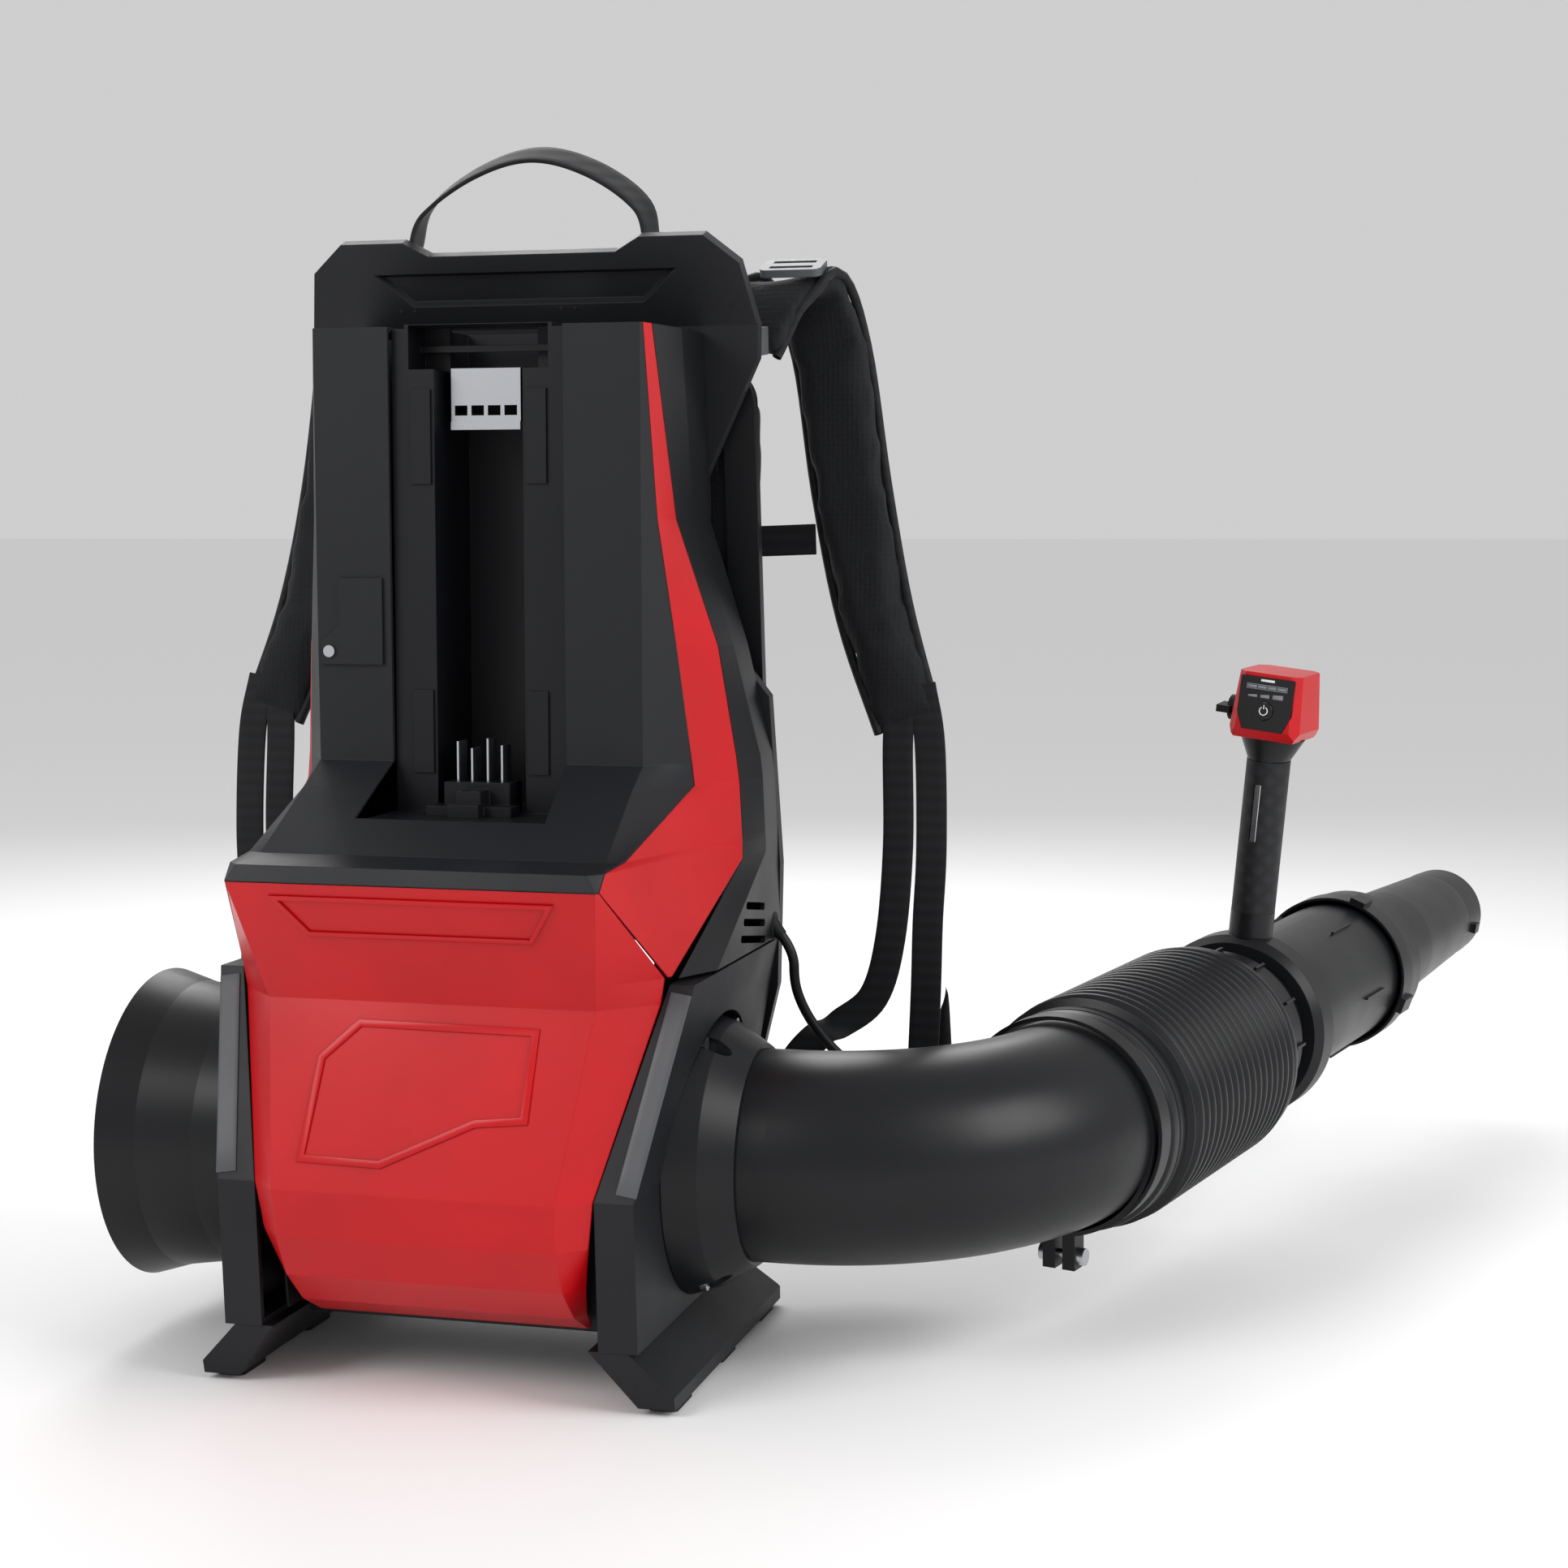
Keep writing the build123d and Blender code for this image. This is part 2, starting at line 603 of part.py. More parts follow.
HUB_R = 31.0
with BuildPart() as impeller:
    with BuildSketch(Plane.YZ.offset(-52)):
        with Locations((AXIS_Y, AXIS_Z)):
            Circle(HUB_R)
    extrude(amount=36)
    with BuildSketch(Plane.YZ.offset(-52)):
        with Locations((AXIS_Y, AXIS_Z)):
            Circle(HUB_R)
    extrude(amount=-14, taper=35)
    for blade in range(BLADES):
        turn = Location((0, AXIS_Y, AXIS_Z)) * Rotation(360 * blade / BLADES, 0, 0)
        root = Plane(turn * Location(Plane.XY.offset(HUB_R - 3).location))
        tip = Plane(turn * Location(Plane.XY.offset(FAN_R - 2.5).location))
        with BuildSketch(root):
            with Locations((-34, 0)):
                Rectangle(30, 2.6, rotation=42)
        with BuildSketch(tip):
            with Locations((-34, 0)):
                Rectangle(34, 1.6, rotation=64)
        loft(ruled=True)
    with BuildSketch(Plane.YZ.offset(-80)):
        with Locations((AXIS_Y, AXIS_Z)):
            Circle(SHAFT_R)
    extrude(amount=80, mode=Mode.SUBTRACT)
save(impeller.part, "impeller")

# ---------------------------------------------------------------- electronics
with BuildPart() as controller_box:
    with Locations((0, 150, 252)):
        Box(130, 84, 44)
    fillet(controller_box.edges().filter_by(Axis.Z), 6)
save(controller_box.part, "controller_box")

with BuildPart() as heat_sink:
    with Locations((0, 150, 276)):
        Box(120, 76, 4)
    with Locations((0, 150, 284)):
        with GridLocations(12, 1, 10, 1):
            Box(2, 76, 12)
save(heat_sink.part, "heat_sink")

# ---------------------------------------------------------------- duct
# The elbow bends in a plane tipped up a little about the fan axis.
DUCT = Plane(
    origin=(0, AXIS_Y, AXIS_Z),
    x_dir=(1, 0, 0),
    z_dir=(0, -sin(radians(ELBOW_TILT)), cos(radians(ELBOW_TILT))),
)
TURN = radians(ELBOW_TURN)
BEND_X = COLLAR_TIP_X + ELBOW_LEAD
ELBOW_END = (BEND_X + ELBOW_R * sin(TURN), ELBOW_R * (1 - cos(TURN)))
TUBE_ORIGIN = DUCT.from_local_coords((*ELBOW_END, 0))
TUBE_WAY = (DUCT.x_dir * cos(TURN) + DUCT.y_dir * sin(TURN)).normalized()
TUBE = Plane(origin=TUBE_ORIGIN, x_dir=DUCT.z_dir, z_dir=TUBE_WAY)  # local x is up
RADIAL = Plane(origin=TUBE_ORIGIN, x_dir=DUCT.z_dir, z_dir=-TUBE.y_dir)  # sketch: radius, distance
TUBE_AXIS = Axis(TUBE_ORIGIN, TUBE_WAY)


def tube_turned(points):
    """Solid of revolution about the straight duct's axis from (radius, distance) points."""
    with BuildPart() as body:
        with BuildSketch(RADIAL):
            with BuildLine():
                Polyline(*points, close=True)
            make_face()
        revolve(axis=TUBE_AXIS)
    return body.part


FLANGE_X = LEG_OUTER + GAP + 0.6
with BuildPart() as elbow_duct:
    with BuildLine(DUCT) as elbow_path:
        lead = Line((FLANGE_X, 0), (BEND_X, 0))
        TangentArc(lead @ 1, ELBOW_END, tangent=lead % 1)
    with BuildSketch(Plane.YZ.offset(FLANGE_X)):
        with Locations((AXIS_Y, AXIS_Z)):
            Circle(DUCT_R)
            Circle(DUCT_R - DUCT_WALL, mode=Mode.SUBTRACT)
    sweep(path=elbow_path.line)
    with BuildSketch(Plane.YZ.offset(FLANGE_X)):
        with Locations((AXIS_Y, AXIS_Z)):
            Circle(FLANGE_R)
            Circle(DUCT_R - 0.5, mode=Mode.SUBTRACT)
    extrude(amount=7)
save(elbow_duct.part, "elbow_duct")

BELLOWS_BORE = DUCT_R
CUFF_R = DUCT_R + 3.0
FRONT_BORE = TUBE_REAR_R
RIB_START = 40.0
RIB_END = BELLOWS_LENGTH - 32.0
pitch = (RIB_END - RIB_START) / RIB_COUNT
outer = [(CUFF_R, -BELLOWS_OVERLAP), (CUFF_R, 7.0), (CUFF_R + 4, 9.0), (CUFF_R + 4, 30.0)]
outer += [(RIB_R - 1, 33.0)]
inner = [(BELLOWS_BORE, -BELLOWS_OVERLAP), (BELLOWS_BORE, 0.0), (DUCT_R - 1, 9.0)]
for rib in range(RIB_COUNT):
    base = RIB_START + rib * pitch
    outer += [(VALLEY_R, base), (RIB_R, base + 0.34 * pitch), (RIB_R, base + 0.66 * pitch)]
outer += [(VALLEY_R, RIB_END), (RIB_R - 2, RIB_END + 3), (RIB_R - 2, RIB_END + 10)]
outer += [(FRONT_BORE + 5, RIB_END + 14), (FRONT_BORE + 5, BELLOWS_LENGTH)]
inner += [(VALLEY_R - 3, RIB_START), (VALLEY_R - 3, RIB_END), (FRONT_BORE, RIB_END + 10)]
inner += [(FRONT_BORE, BELLOWS_LENGTH)]
bellows = tube_turned(outer + inner[::-1])
save(bellows, "bellows")

CLAMP_DROP = 94.0  # how far the lugs reach below the axis
with BuildPart() as elbow_clamp:
    with BuildSketch(TUBE.offset(-13)):
        Circle(CUFF_R + 2.4)
        Circle(CUFF_R, mode=Mode.SUBTRACT)
        with Locations((-(CUFF_R + CLAMP_DROP) / 2, 0)):
            Rectangle(CLAMP_DROP - CUFF_R - 2, 22)
        with Locations((-(CUFF_R + CLAMP_DROP) / 2 - 4, 0)):
            Rectangle(CLAMP_DROP - CUFF_R + 2, 5, mode=Mode.SUBTRACT)
    extrude(amount=14)
    lug = Plane(origin=TUBE.from_local_coords((-CLAMP_DROP + 9, 0, -6)), x_dir=TUBE_WAY, z_dir=TUBE.y_dir)
    with Locations(lug):
        Cylinder(3.1, 60, mode=Mode.SUBTRACT)
save(elbow_clamp.part, "elbow_clamp")

with BuildPart() as clamp_screw:
    with Locations(lug):
        Cylinder(3.0, 30)
    with Locations(lug.offset(11)):
        Cylinder(5.5, 4.5, align=(Align.CENTER, Align.CENTER, Align.MIN))
    with Locations(lug.offset(-11)):
        Cylinder(5.5, 4, align=(Align.CENTER, Align.CENTER, Align.MAX))
save(clamp_screw.part, "clamp_screw")

TUBE_BACK = BELLOWS_LENGTH - 22.0
TUBE_END = BELLOWS_LENGTH + TUBE_LENGTH
with BuildPart() as control_tube:
    add(
        tube_turned(
            [
                (TUBE_REAR_R - TUBE_WALL, TUBE_BACK),
                (TUBE_REAR_R, TUBE_BACK),
                (TUBE_REAR_R, HANDLE_AT - 38),
                (TUBE_R, HANDLE_AT - 24),
                (TUBE_R, TUBE_END),
                (TUBE_R - TUBE_WALL, TUBE_END),
                (TUBE_R - TUBE_WALL, HANDLE_AT - 24),
                (TUBE_REAR_R - TUBE_WALL, HANDLE_AT - 38),
            ]
        )
    )
    # moulded ribs behind and ahead of the handle, and the bayonet stud
    with BuildSketch(TUBE.offset(BELLOWS_LENGTH + 1)):
        with PolarLocations(TUBE_REAR_R + 0.8, 12):
            Rectangle(4, 2)
    extrude(amount=HANDLE_AT - 40 - BELLOWS_LENGTH)
    with BuildSketch(TUBE.offset(TUBE_END - 120)):
        with PolarLocations(TUBE_R + 0.6, 6, start_angle=30):
            Rectangle(3, 1.6)
    extrude(amount=40)
save(control_tube.part, "control_tube")

# ---------------------------------------------------------------- nozzle
SOCKET = 44.0  # length of tube inside the coupling
with BuildPart() as nozzle_coupling:
    start = TUBE_END - SOCKET
    add(
        tube_turned(
            [
                (TUBE_R + FIT, start + 8),
                (TUBE_R + 3.5, start),
                (COUPLING_R, start),
                (COUPLING_R, start + 22),
                (COUPLING_R - 2.0, start + 28),
                (COUPLING_R - 2.5, TUBE_END + 6),
                (NOZZLE_ROOT_R + 3.4, TUBE_END + 30),
                (NOZZLE_ROOT_R, TUBE_END + 30),
                (NOZZLE_ROOT_R, TUBE_END + 20),
                (TUBE_R + FIT, TUBE_END + 2),
            ]
        )
    )
    with BuildSketch(TUBE.offset(start)):
        with PolarLocations(COUPLING_R + 1, 4, start_angle=20):
            Rectangle(5, 12)
    extrude(amount=20)
save(nozzle_coupling.part, "nozzle_coupling")

NOZZLE_END = TUBE_END + NOZZLE_LENGTH
TIP_SEAT = 16.0  # straight end that a nozzle tip slides over
RING_STEP = 0.8
with BuildPart() as nozzle_tube:
    base = TUBE_END + 20
    add(
        tube_turned(
            [
                (NOZZLE_ROOT_R - 2.5, base),
                (NOZZLE_ROOT_R, base),
                (NOZZLE_ROOT_R, TUBE_END + 80),
                (NOZZLE_TIP_R + 1.6, NOZZLE_END - 44),
                (NOZZLE_TIP_R + RING_STEP, NOZZLE_END - 40),
                (NOZZLE_TIP_R + RING_STEP, NOZZLE_END - TIP_SEAT),
                (NOZZLE_TIP_R, NOZZLE_END - TIP_SEAT),
                (NOZZLE_TIP_R, NOZZLE_END),
                (NOZZLE_TIP_R - 2.5, NOZZLE_END),
                (NOZZLE_TIP_R - 2.5, NOZZLE_END - 60),
                (NOZZLE_ROOT_R - 2.5, TUBE_END + 80),
            ]
        )
    )
    for turn in (-80, 100):
        with BuildSketch(TUBE.offset(NOZZLE_END - TIP_SEAT - 12)):
            with PolarLocations(NOZZLE_TIP_R + 2.0, 1, start_angle=turn):
                Rectangle(5, 8)
        extrude(amount=10)
save(nozzle_tube.part, "nozzle_tube")

# ---------------------------------------------------------------- handle
# Handle frame: local z up from the tube axis, local y forward along the duct, local x to its right.
HANDLE = Plane(
    origin=TUBE.from_local_coords((0, 0, HANDLE_AT)),
    x_dir=TUBE.x_dir * -sin(radians(HANDLE_LEAN)) + TUBE.y_dir * cos(radians(HANDLE_LEAN)),
    z_dir=TUBE.x_dir * cos(radians(HANDLE_LEAN)) + TUBE.y_dir * sin(radians(HANDLE_LEAN)),
)
RING_HALF = 20.0
STEM_TOP = RING_R + 17
GRIP_TOP = STEM_TOP + GRIP_LENGTH
NECK_TOP = GRIP_TOP + 16
HEAD_TOP = NECK_TOP + HEAD_HEIGHT

with BuildPart() as handle_clamp:
    add(
        tube_turned(
            [
                (TUBE_R + FIT, HANDLE_AT - RING_HALF),
                (RING_R - 5, HANDLE_AT - RING_HALF),
                (RING_R, HANDLE_AT - RING_HALF + 6),
                (RING_R, HANDLE_AT + RING_HALF - 14),
                (TUBE_R + 4, HANDLE_AT + RING_HALF),
                (TUBE_R + FIT, HANDLE_AT + RING_HALF),
            ]
        )
    )
save(handle_clamp.part, "handle_clamp")

CORE = 4.0  # grip sleeve thickness
TRIGGER_Z = GRIP_TOP - 32
SLOT_WIDE = 13.0
SLOT_DEEP = 14.0
SLOT_HIGH = 50.0
TRIGGER_SLOT = HANDLE * Location((0, GRIP_DEEP / 2, TRIGGER_Z))
with BuildPart() as handle_stem:
    with BuildSketch(HANDLE.offset(RING_R - 8)):
        Ellipse(GRIP_WIDE / 2 + 1, GRIP_DEEP / 2 - 1)
    extrude(amount=STEM_TOP - RING_R + 8)
    add(handle_clamp.part, mode=Mode.SUBTRACT)
    with BuildSketch(HANDLE.offset(STEM_TOP)):
        Ellipse(GRIP_WIDE / 2 - CORE, GRIP_DEEP / 2 - CORE)
    extrude(amount=GRIP_LENGTH)
    with Locations(TRIGGER_SLOT):
        Box(SLOT_WIDE, SLOT_DEEP, SLOT_HIGH, mode=Mode.SUBTRACT)
    with BuildSketch(HANDLE.offset(GRIP_TOP)):
        Ellipse(GRIP_WIDE / 2, GRIP_DEEP / 2)
    with BuildSketch(HANDLE.offset(NECK_TOP)):
        with Locations((0, 3)):
            Ellipse(HEAD_WIDE / 2 - 3, HEAD_DEEP / 2 - 3)
    loft()
save(handle_stem.part, "handle_stem")

INSERT_Z = STEM_TOP + 73
with BuildPart() as grip_insert:
    with Locations(HANDLE * Location((0, -GRIP_DEEP / 2 + 0.6 + 1.2, INSERT_Z))):
        Box(5.2, 2.8, 40.6)
    fillet(grip_insert.edges().filter_by(Axis(HANDLE.origin, HANDLE.z_dir)), 0.8)
save(grip_insert.part, "grip_insert")

# Control head, with the display's pocket on the side that faces the operator.
HEAD_Y = 4.0
FACE_FOOT = -HEAD_DEEP / 2 - 2 + HEAD_Y
FACE_HEAD = -HEAD_DEEP / 2 + 1 + HEAD_Y + 1
FACE_LOW = NECK_TOP + 7
face_lean = Vector(0, FACE_HEAD - FACE_FOOT, HEAD_TOP - FACE_LOW).normalized()
face_foot = HANDLE.from_local_coords((0, FACE_FOOT, FACE_LOW))
face_up = HANDLE.y_dir * face_lean.Y + HANDLE.z_dir * face_lean.Z
FACE = Plane(origin=face_foot, x_dir=HANDLE.x_dir, z_dir=HANDLE.x_dir.cross(face_up))
PANEL_DEPTH = 1.6
PANEL_OUTLINE = [(-15, 0), (-20, 12), (-20, 37.5), (20, 37.5), (20, 12), (15, 0)]
BUTTON_R = 6.5
BUTTON_UP = 14.0
BUTTON_TRAVEL = 1.2
BUTTON_GAP = 0.25


def panel_sketch(shrink=0.0):
    with BuildSketch() as outline:
        with BuildLine():
            Polyline(*PANEL_OUTLINE, close=True)
        make_face()
        if shrink:
            offset(amount=-shrink, kind=Kind.INTERSECTION)
    return outline.sketch


with BuildPart() as control_head:
    with BuildSketch(HANDLE.offset(NECK_TOP)):
        with Locations((0, HEAD_Y)):
            Rectangle(HEAD_WIDE - 8, HEAD_DEEP - 4)
    with BuildSketch(HANDLE.offset(FACE_LOW)):
        with Locations((0, HEAD_Y)):
            Rectangle(HEAD_WIDE, HEAD_DEEP + 4)
    with BuildSketch(HANDLE.offset(HEAD_TOP)):
        with Locations((0, HEAD_Y + 1)):
            Rectangle(HEAD_WIDE - 6, HEAD_DEEP - 2)
    loft(ruled=True)
    upright = control_head.edges().filter_by(lambda e: abs(e.tangent_at(0.5).Z) > 0.8)
    chamfer(upright, 6)
    with BuildSketch(FACE):
        add(panel_sketch())
    extrude(amount=-PANEL_DEPTH, mode=Mode.SUBTRACT)
    with BuildSketch(FACE):
        with Locations((0, BUTTON_UP)):
            Circle(BUTTON_R + BUTTON_GAP)
    extrude(amount=-5, mode=Mode.SUBTRACT)
save(control_head.part, "control_head")

with BuildPart() as display_panel:
    with BuildSketch(FACE.offset(-PANEL_DEPTH)):
        add(panel_sketch(0.2))
        with Locations((0, BUTTON_UP)):
            Circle(BUTTON_R + BUTTON_GAP, mode=Mode.SUBTRACT)
    extrude(amount=PANEL_DEPTH + 0.2)
save(display_panel.part, "display_panel")

with BuildPart() as power_button:
    with BuildSketch(FACE.offset(-3.2)):
        with Locations((0, BUTTON_UP)):
            Circle(BUTTON_R)
    extrude(amount=4.8)
    fillet(power_button.edges().group_by(SortBy.LENGTH)[-1], 0.5)
save(power_button.part, "power_button")

# Throttle trigger on its pin, at the front of the grip.
PIN_R = 1.5
PIN_Y = 15.2
PIN_Z = TRIGGER_Z + 19
TRIGGER_SIDE = Plane(origin=HANDLE.origin, x_dir=HANDLE.y_dir, z_dir=HANDLE.x_dir)
with BuildPart() as trigger:
    with BuildSketch(TRIGGER_SIDE.offset(-SLOT_WIDE / 2 + 0.5)):
        with BuildLine():
            Polyline(
                (PIN_Y - 1.2, TRIGGER_Z + 23),
                (PIN_Y + 5, TRIGGER_Z + 23),
                (29, TRIGGER_Z + 4),
                (27.5, TRIGGER_Z - 12),
                (30, TRIGGER_Z - 20),
                (26, TRIGGER_Z - 22),
                (22, TRIGGER_Z - 10),
                (PIN_Y - 1.2, TRIGGER_Z + 14),
                close=True,
            )
        make_face()
        with Locations((PIN_Y, PIN_Z)):
            Circle(3)
            Circle(PIN_R + FIT, mode=Mode.SUBTRACT)
    extrude(amount=SLOT_WIDE - 1)
save(trigger.part, "trigger")

with BuildPart() as trigger_pin:
    with BuildSketch(TRIGGER_SIDE.offset(-8)):
        with Locations((PIN_Y, PIN_Z)):
            Circle(PIN_R)
    extrude(amount=16)
save(trigger_pin.part, "trigger_pin")

with BuildPart() as grip_sleeve:
    with BuildSketch(HANDLE.offset(STEM_TOP)):
        Ellipse(GRIP_WIDE / 2 + 0.6, GRIP_DEEP / 2 + 0.6)
        Ellipse(GRIP_WIDE / 2 - CORE, GRIP_DEEP / 2 - CORE, mode=Mode.SUBTRACT)
    extrude(amount=GRIP_LENGTH)
    # slot for the trigger at the front, and for the insert at the back
    with Locations(TRIGGER_SLOT):
        Box(SLOT_WIDE, SLOT_DEEP, SLOT_HIGH, mode=Mode.SUBTRACT)
    with BuildSketch(TRIGGER_SIDE.offset(-8)):
        with Locations((PIN_Y, PIN_Z)):
            Circle(PIN_R)
    extrude(amount=16, mode=Mode.SUBTRACT)
    with Locations(HANDLE * Location((0, -GRIP_DEEP / 2, INSERT_Z))):
        Box(5.4, 7, 41, mode=Mode.SUBTRACT)
save(grip_sleeve.part, "grip_sleeve")

# Throttle lock lever on the left cheek of the head.
LEVER_Z = NECK_TOP + 17
LEVER_Y = HEAD_Y - 2
LEVER_X = -HEAD_WIDE / 2 - 0.6
with BuildPart() as lock_lever:
    with BuildSketch(TRIGGER_SIDE.offset(LEVER_X)):
        with Locations((LEVER_Y, LEVER_Z)):
            Circle(9)
    extrude(amount=-6)
    with BuildSketch(TRIGGER_SIDE.offset(LEVER_X - 3)):
        with BuildLine():
            Polyline(
                (LEVER_Y + 3, LEVER_Z - 4),
                (LEVER_Y + 3, LEVER_Z + 3),
                (LEVER_Y - 12, LEVER_Z + 2),
                (LEVER_Y - 12, LEVER_Z - 3),
                close=True,
            )
        make_face()
    extrude(amount=-10)
save(lock_lever.part, "lock_lever")

# ---------------------------------------------------------------- throttle cable
GLAND = Plane(origin=(148.5, GLAND_Y, 254.0), x_dir=(0, 1, 0), z_dir=(0.62, 0, -0.78))
BOOT = 9.0
with BuildPart() as cable_gland:
    with BuildSketch(Plane.YZ.offset(145.5)):
        with Locations((GLAND_Y, GLAND_Z)):
            Circle(GLAND_R - 0.1)
    extrude(amount=4.4)
    with BuildSketch(GLAND.offset(-5)):
        Circle(4.8)
    extrude(amount=5 + BOOT, taper=4)
save(cable_gland.part, "cable_gland")

INLET_R = 84.0  # distance of the inlet's mouth from the duct axis
INLET = Plane(
    origin=TUBE.from_local_coords((0, -CUFF_R - 2.4, -6)), x_dir=TUBE_WAY, z_dir=-TUBE.y_dir
)
with BuildPart() as cable_inlet:
    with BuildSketch(INLET.offset(-1)):
        Circle(5.5)
    extrude(amount=INLET_R - CUFF_R - 1.4, taper=5)
    with BuildSketch(TUBE.offset(-30)):
        Circle(CUFF_R + 2.4)
    extrude(amount=60, mode=Mode.SUBTRACT)
save(cable_inlet.part, "cable_inlet")

CABLE_START = GLAND.from_local_coords((0, 0, BOOT))
CABLE_END = INLET.from_local_coords((0, 0, INLET_R - CUFF_R - 2.4))
CABLE_ROUTE = [
    tuple(GLAND.from_local_coords((0, 0, BOOT + 13))),
    (161.6, 215.5, 217.0),
    (166.0, 219.0, 201.5),
    (173.8, 223.5, 186.5),
    (184.5, 230.5, 171.0),
    (199.0, 240.0, 156.5),
    (215.0, 250.5, 144.0),
    tuple(INLET.from_local_coords((0, 0, INLET_R - CUFF_R - 2.4 + 16))),
]


def cord_radii(points):
    """Arc radius at each inner point of a route, from its two runs and its turn."""
    radii = []
    for a, b, c in zip(points, points[1:], points[2:]):
        before, after = Vector(*b) - Vector(*a), Vector(*c) - Vector(*b)
        half_turn = radians(before.get_angle(after)) / 2
        radii.append(0.45 * min(before.length, after.length) / tan(half_turn))
    return radii


cable_points = [tuple(CABLE_START), *CABLE_ROUTE, tuple(CABLE_END)]
cable_radii = cord_radii(cable_points)
with BuildPart() as throttle_cable:
    with BuildLine() as cable_line:
        FilletPolyline(*cable_points, radius=cable_radii)
    with BuildSketch(Plane(origin=cable_points[0], z_dir=cable_line.line % 0)):
        Circle(CABLE_R)
    sweep(path=cable_line.line)
save(throttle_cable.part, "throttle_cable")
print("cable radii", [round(r, 1) for r in cable_radii])
cable_length = sum(edge.length for edge in cable_line.edges())
print("cable length", round(cable_length, 1))
section_volume = pi * CABLE_R**2 * cable_length
print("cable volume over section times length", round(throttle_cable.part.volume / section_volume, 4))

# ---------------------------------------------------------------- back pad
MESH_BACK = -13.0  # distance of the suspended mesh behind the back frame's rear face
RING_MIDDLE = -184.0
RING_HIGH = 270.0
RING_OUT = 138.0
RING_IN = 117.0
with BuildPart() as pad_frame:
    with BuildSketch(BACK.offset(MESH_BACK - 5)):
        with Locations((0, RING_MIDDLE)):
            RectangleRounded(2 * RING_OUT, RING_HIGH + 42, 22)
            RectangleRounded(2 * RING_IN, RING_HIGH, 12, mode=Mode.SUBTRACT)
    extrude(amount=8)
    with BuildSketch(BACK.offset(MESH_BACK + 3)):
        with Locations((-112, -44), (112, -44), (-130, -325), (130, -325)):
            Circle(7)
    extrude(amount=-MESH_BACK - 3)
save(pad_frame.part, "pad_frame")

with BuildPart() as back_mesh:
    with BuildSketch(BACK.offset(MESH_BACK - 2)):
        with Locations((0, RING_MIDDLE)):
            RectangleRounded(2 * RING_IN, RING_HIGH, 12)
    extrude(amount=1.6)
save(back_mesh.part, "back_mesh")

CUSHION_BACK = MESH_BACK - 5 - SOFT_GAP
with BuildPart() as back_cushions:
    for side in (-1, 1):
        with BuildSketch(BACK.offset(CUSHION_BACK)):
            with Locations((side * 116, -156)):
                RectangleRounded(42, 230, 14)
        extrude(amount=-15)
    with BuildSketch(BACK.offset(CUSHION_BACK)):
        with Locations((0, -325)):
            RectangleRounded(236, 92, 24)
    extrude(amount=-20)
save(back_cushions.part, "back_cushions")

# ---------------------------------------------------------------- straps
# Right shoulder strap: centre, width and thickness of its pad from the yoke down to its end.
STRAP_RUN = [
    ((124.0, 232.0, 618.0), 50.0),
    ((136.0, 246.0, 648.0), 52.0),
    ((154.0, 272.0, 660.0), 54.0),
    ((167.0, 292.0, 618.0), 50.0),
    ((180.0, 294.0, 530.0), 50.0),
    ((197.0, 288.0, 450.0), 48.0),
    ((222.0, 276.0, 378.0), 42.0),
]
STRAP_THICK = 13.0


def run_planes(points):
    """Planes square to a run of points, with x across the strap."""
    planes = []
    for i, point in enumerate(points):
        before = Vector(*points[max(i - 1, 0)])
        after = Vector(*points[min(i + 1, len(points) - 1)])
        along = (after - before).normalized()
        face = along.cross(Vector(1, 0, 0)).normalized()
        planes.append(Plane(origin=point, x_dir=face.cross(along), z_dir=along))
    return planes


def band(points, widths, thick):
    """Flat strap along a run of points."""
    with BuildPart() as strap:
        for plane, width in zip(run_planes(points), widths):
            with BuildSketch(plane):
                Rectangle(width, thick)
        loft(ruled=True)
    return strap.part


shoulder = band([p for p, _ in STRAP_RUN], [w for _, w in STRAP_RUN], STRAP_THICK)
save(shoulder, "shoulder_strap_right")
save(mirror(shoulder, about=Plane.YZ), "shoulder_strap_left")

STRAP_END = STRAP_RUN[-1][0]
TAIL = [
    (STRAP_END[0] + 15, STRAP_END[1] - 3, STRAP_END[2] - 12),
    (STRAP_END[0] + 17, STRAP_END[1] - 6, 300.0),
    (STRAP_END[0] + 14, STRAP_END[1] - 8, 200.0),
    (STRAP_END[0] + 11, STRAP_END[1] - 10, 118.0),
]
RETURN = [
    (STRAP_END[0] - 6, STRAP_END[1] - 3, STRAP_END[2] - 12),
    (STRAP_END[0] - 5, STRAP_END[1] - 6, 300.0),
    (STRAP_END[0] - 9, STRAP_END[1] - 10, 240.0),
    (STRAP_END[0] - 19, STRAP_END[1] - 14, 202.0),
    (STRAP_END[0] - 40, STRAP_END[1] - 18, 184.0),
    (168.0, 252.0, 176.0),
    (154.0, 250.0, 160.0),
    (151.0, 249.0, 146.0),
]
with BuildPart() as lower_webbing:
    for run, width in ((TAIL, WEBBING - 5), (RETURN, WEBBING - 5)):
        for side in (False, True):
            piece = band(run, [width] * len(run), WEB_THICK)
            add(mirror(piece, about=Plane.YZ) if side else piece)
save(lower_webbing.part, "lower_webbing")

LOCK_PLANE = Plane(origin=(151, 256, 666), x_dir=(1, 0, 0), z_dir=(0, -0.35, 0.94))
with BuildPart() as ladder_locks:
    with BuildSketch(LOCK_PLANE):
        RectangleRounded(40, 26, 5)
        with Locations((0, 6), (0, -6)):
            Rectangle(28, 5, mode=Mode.SUBTRACT)
    extrude(amount=5)
    mirror(about=Plane.YZ)
save(ladder_locks.part, "ladder_locks")

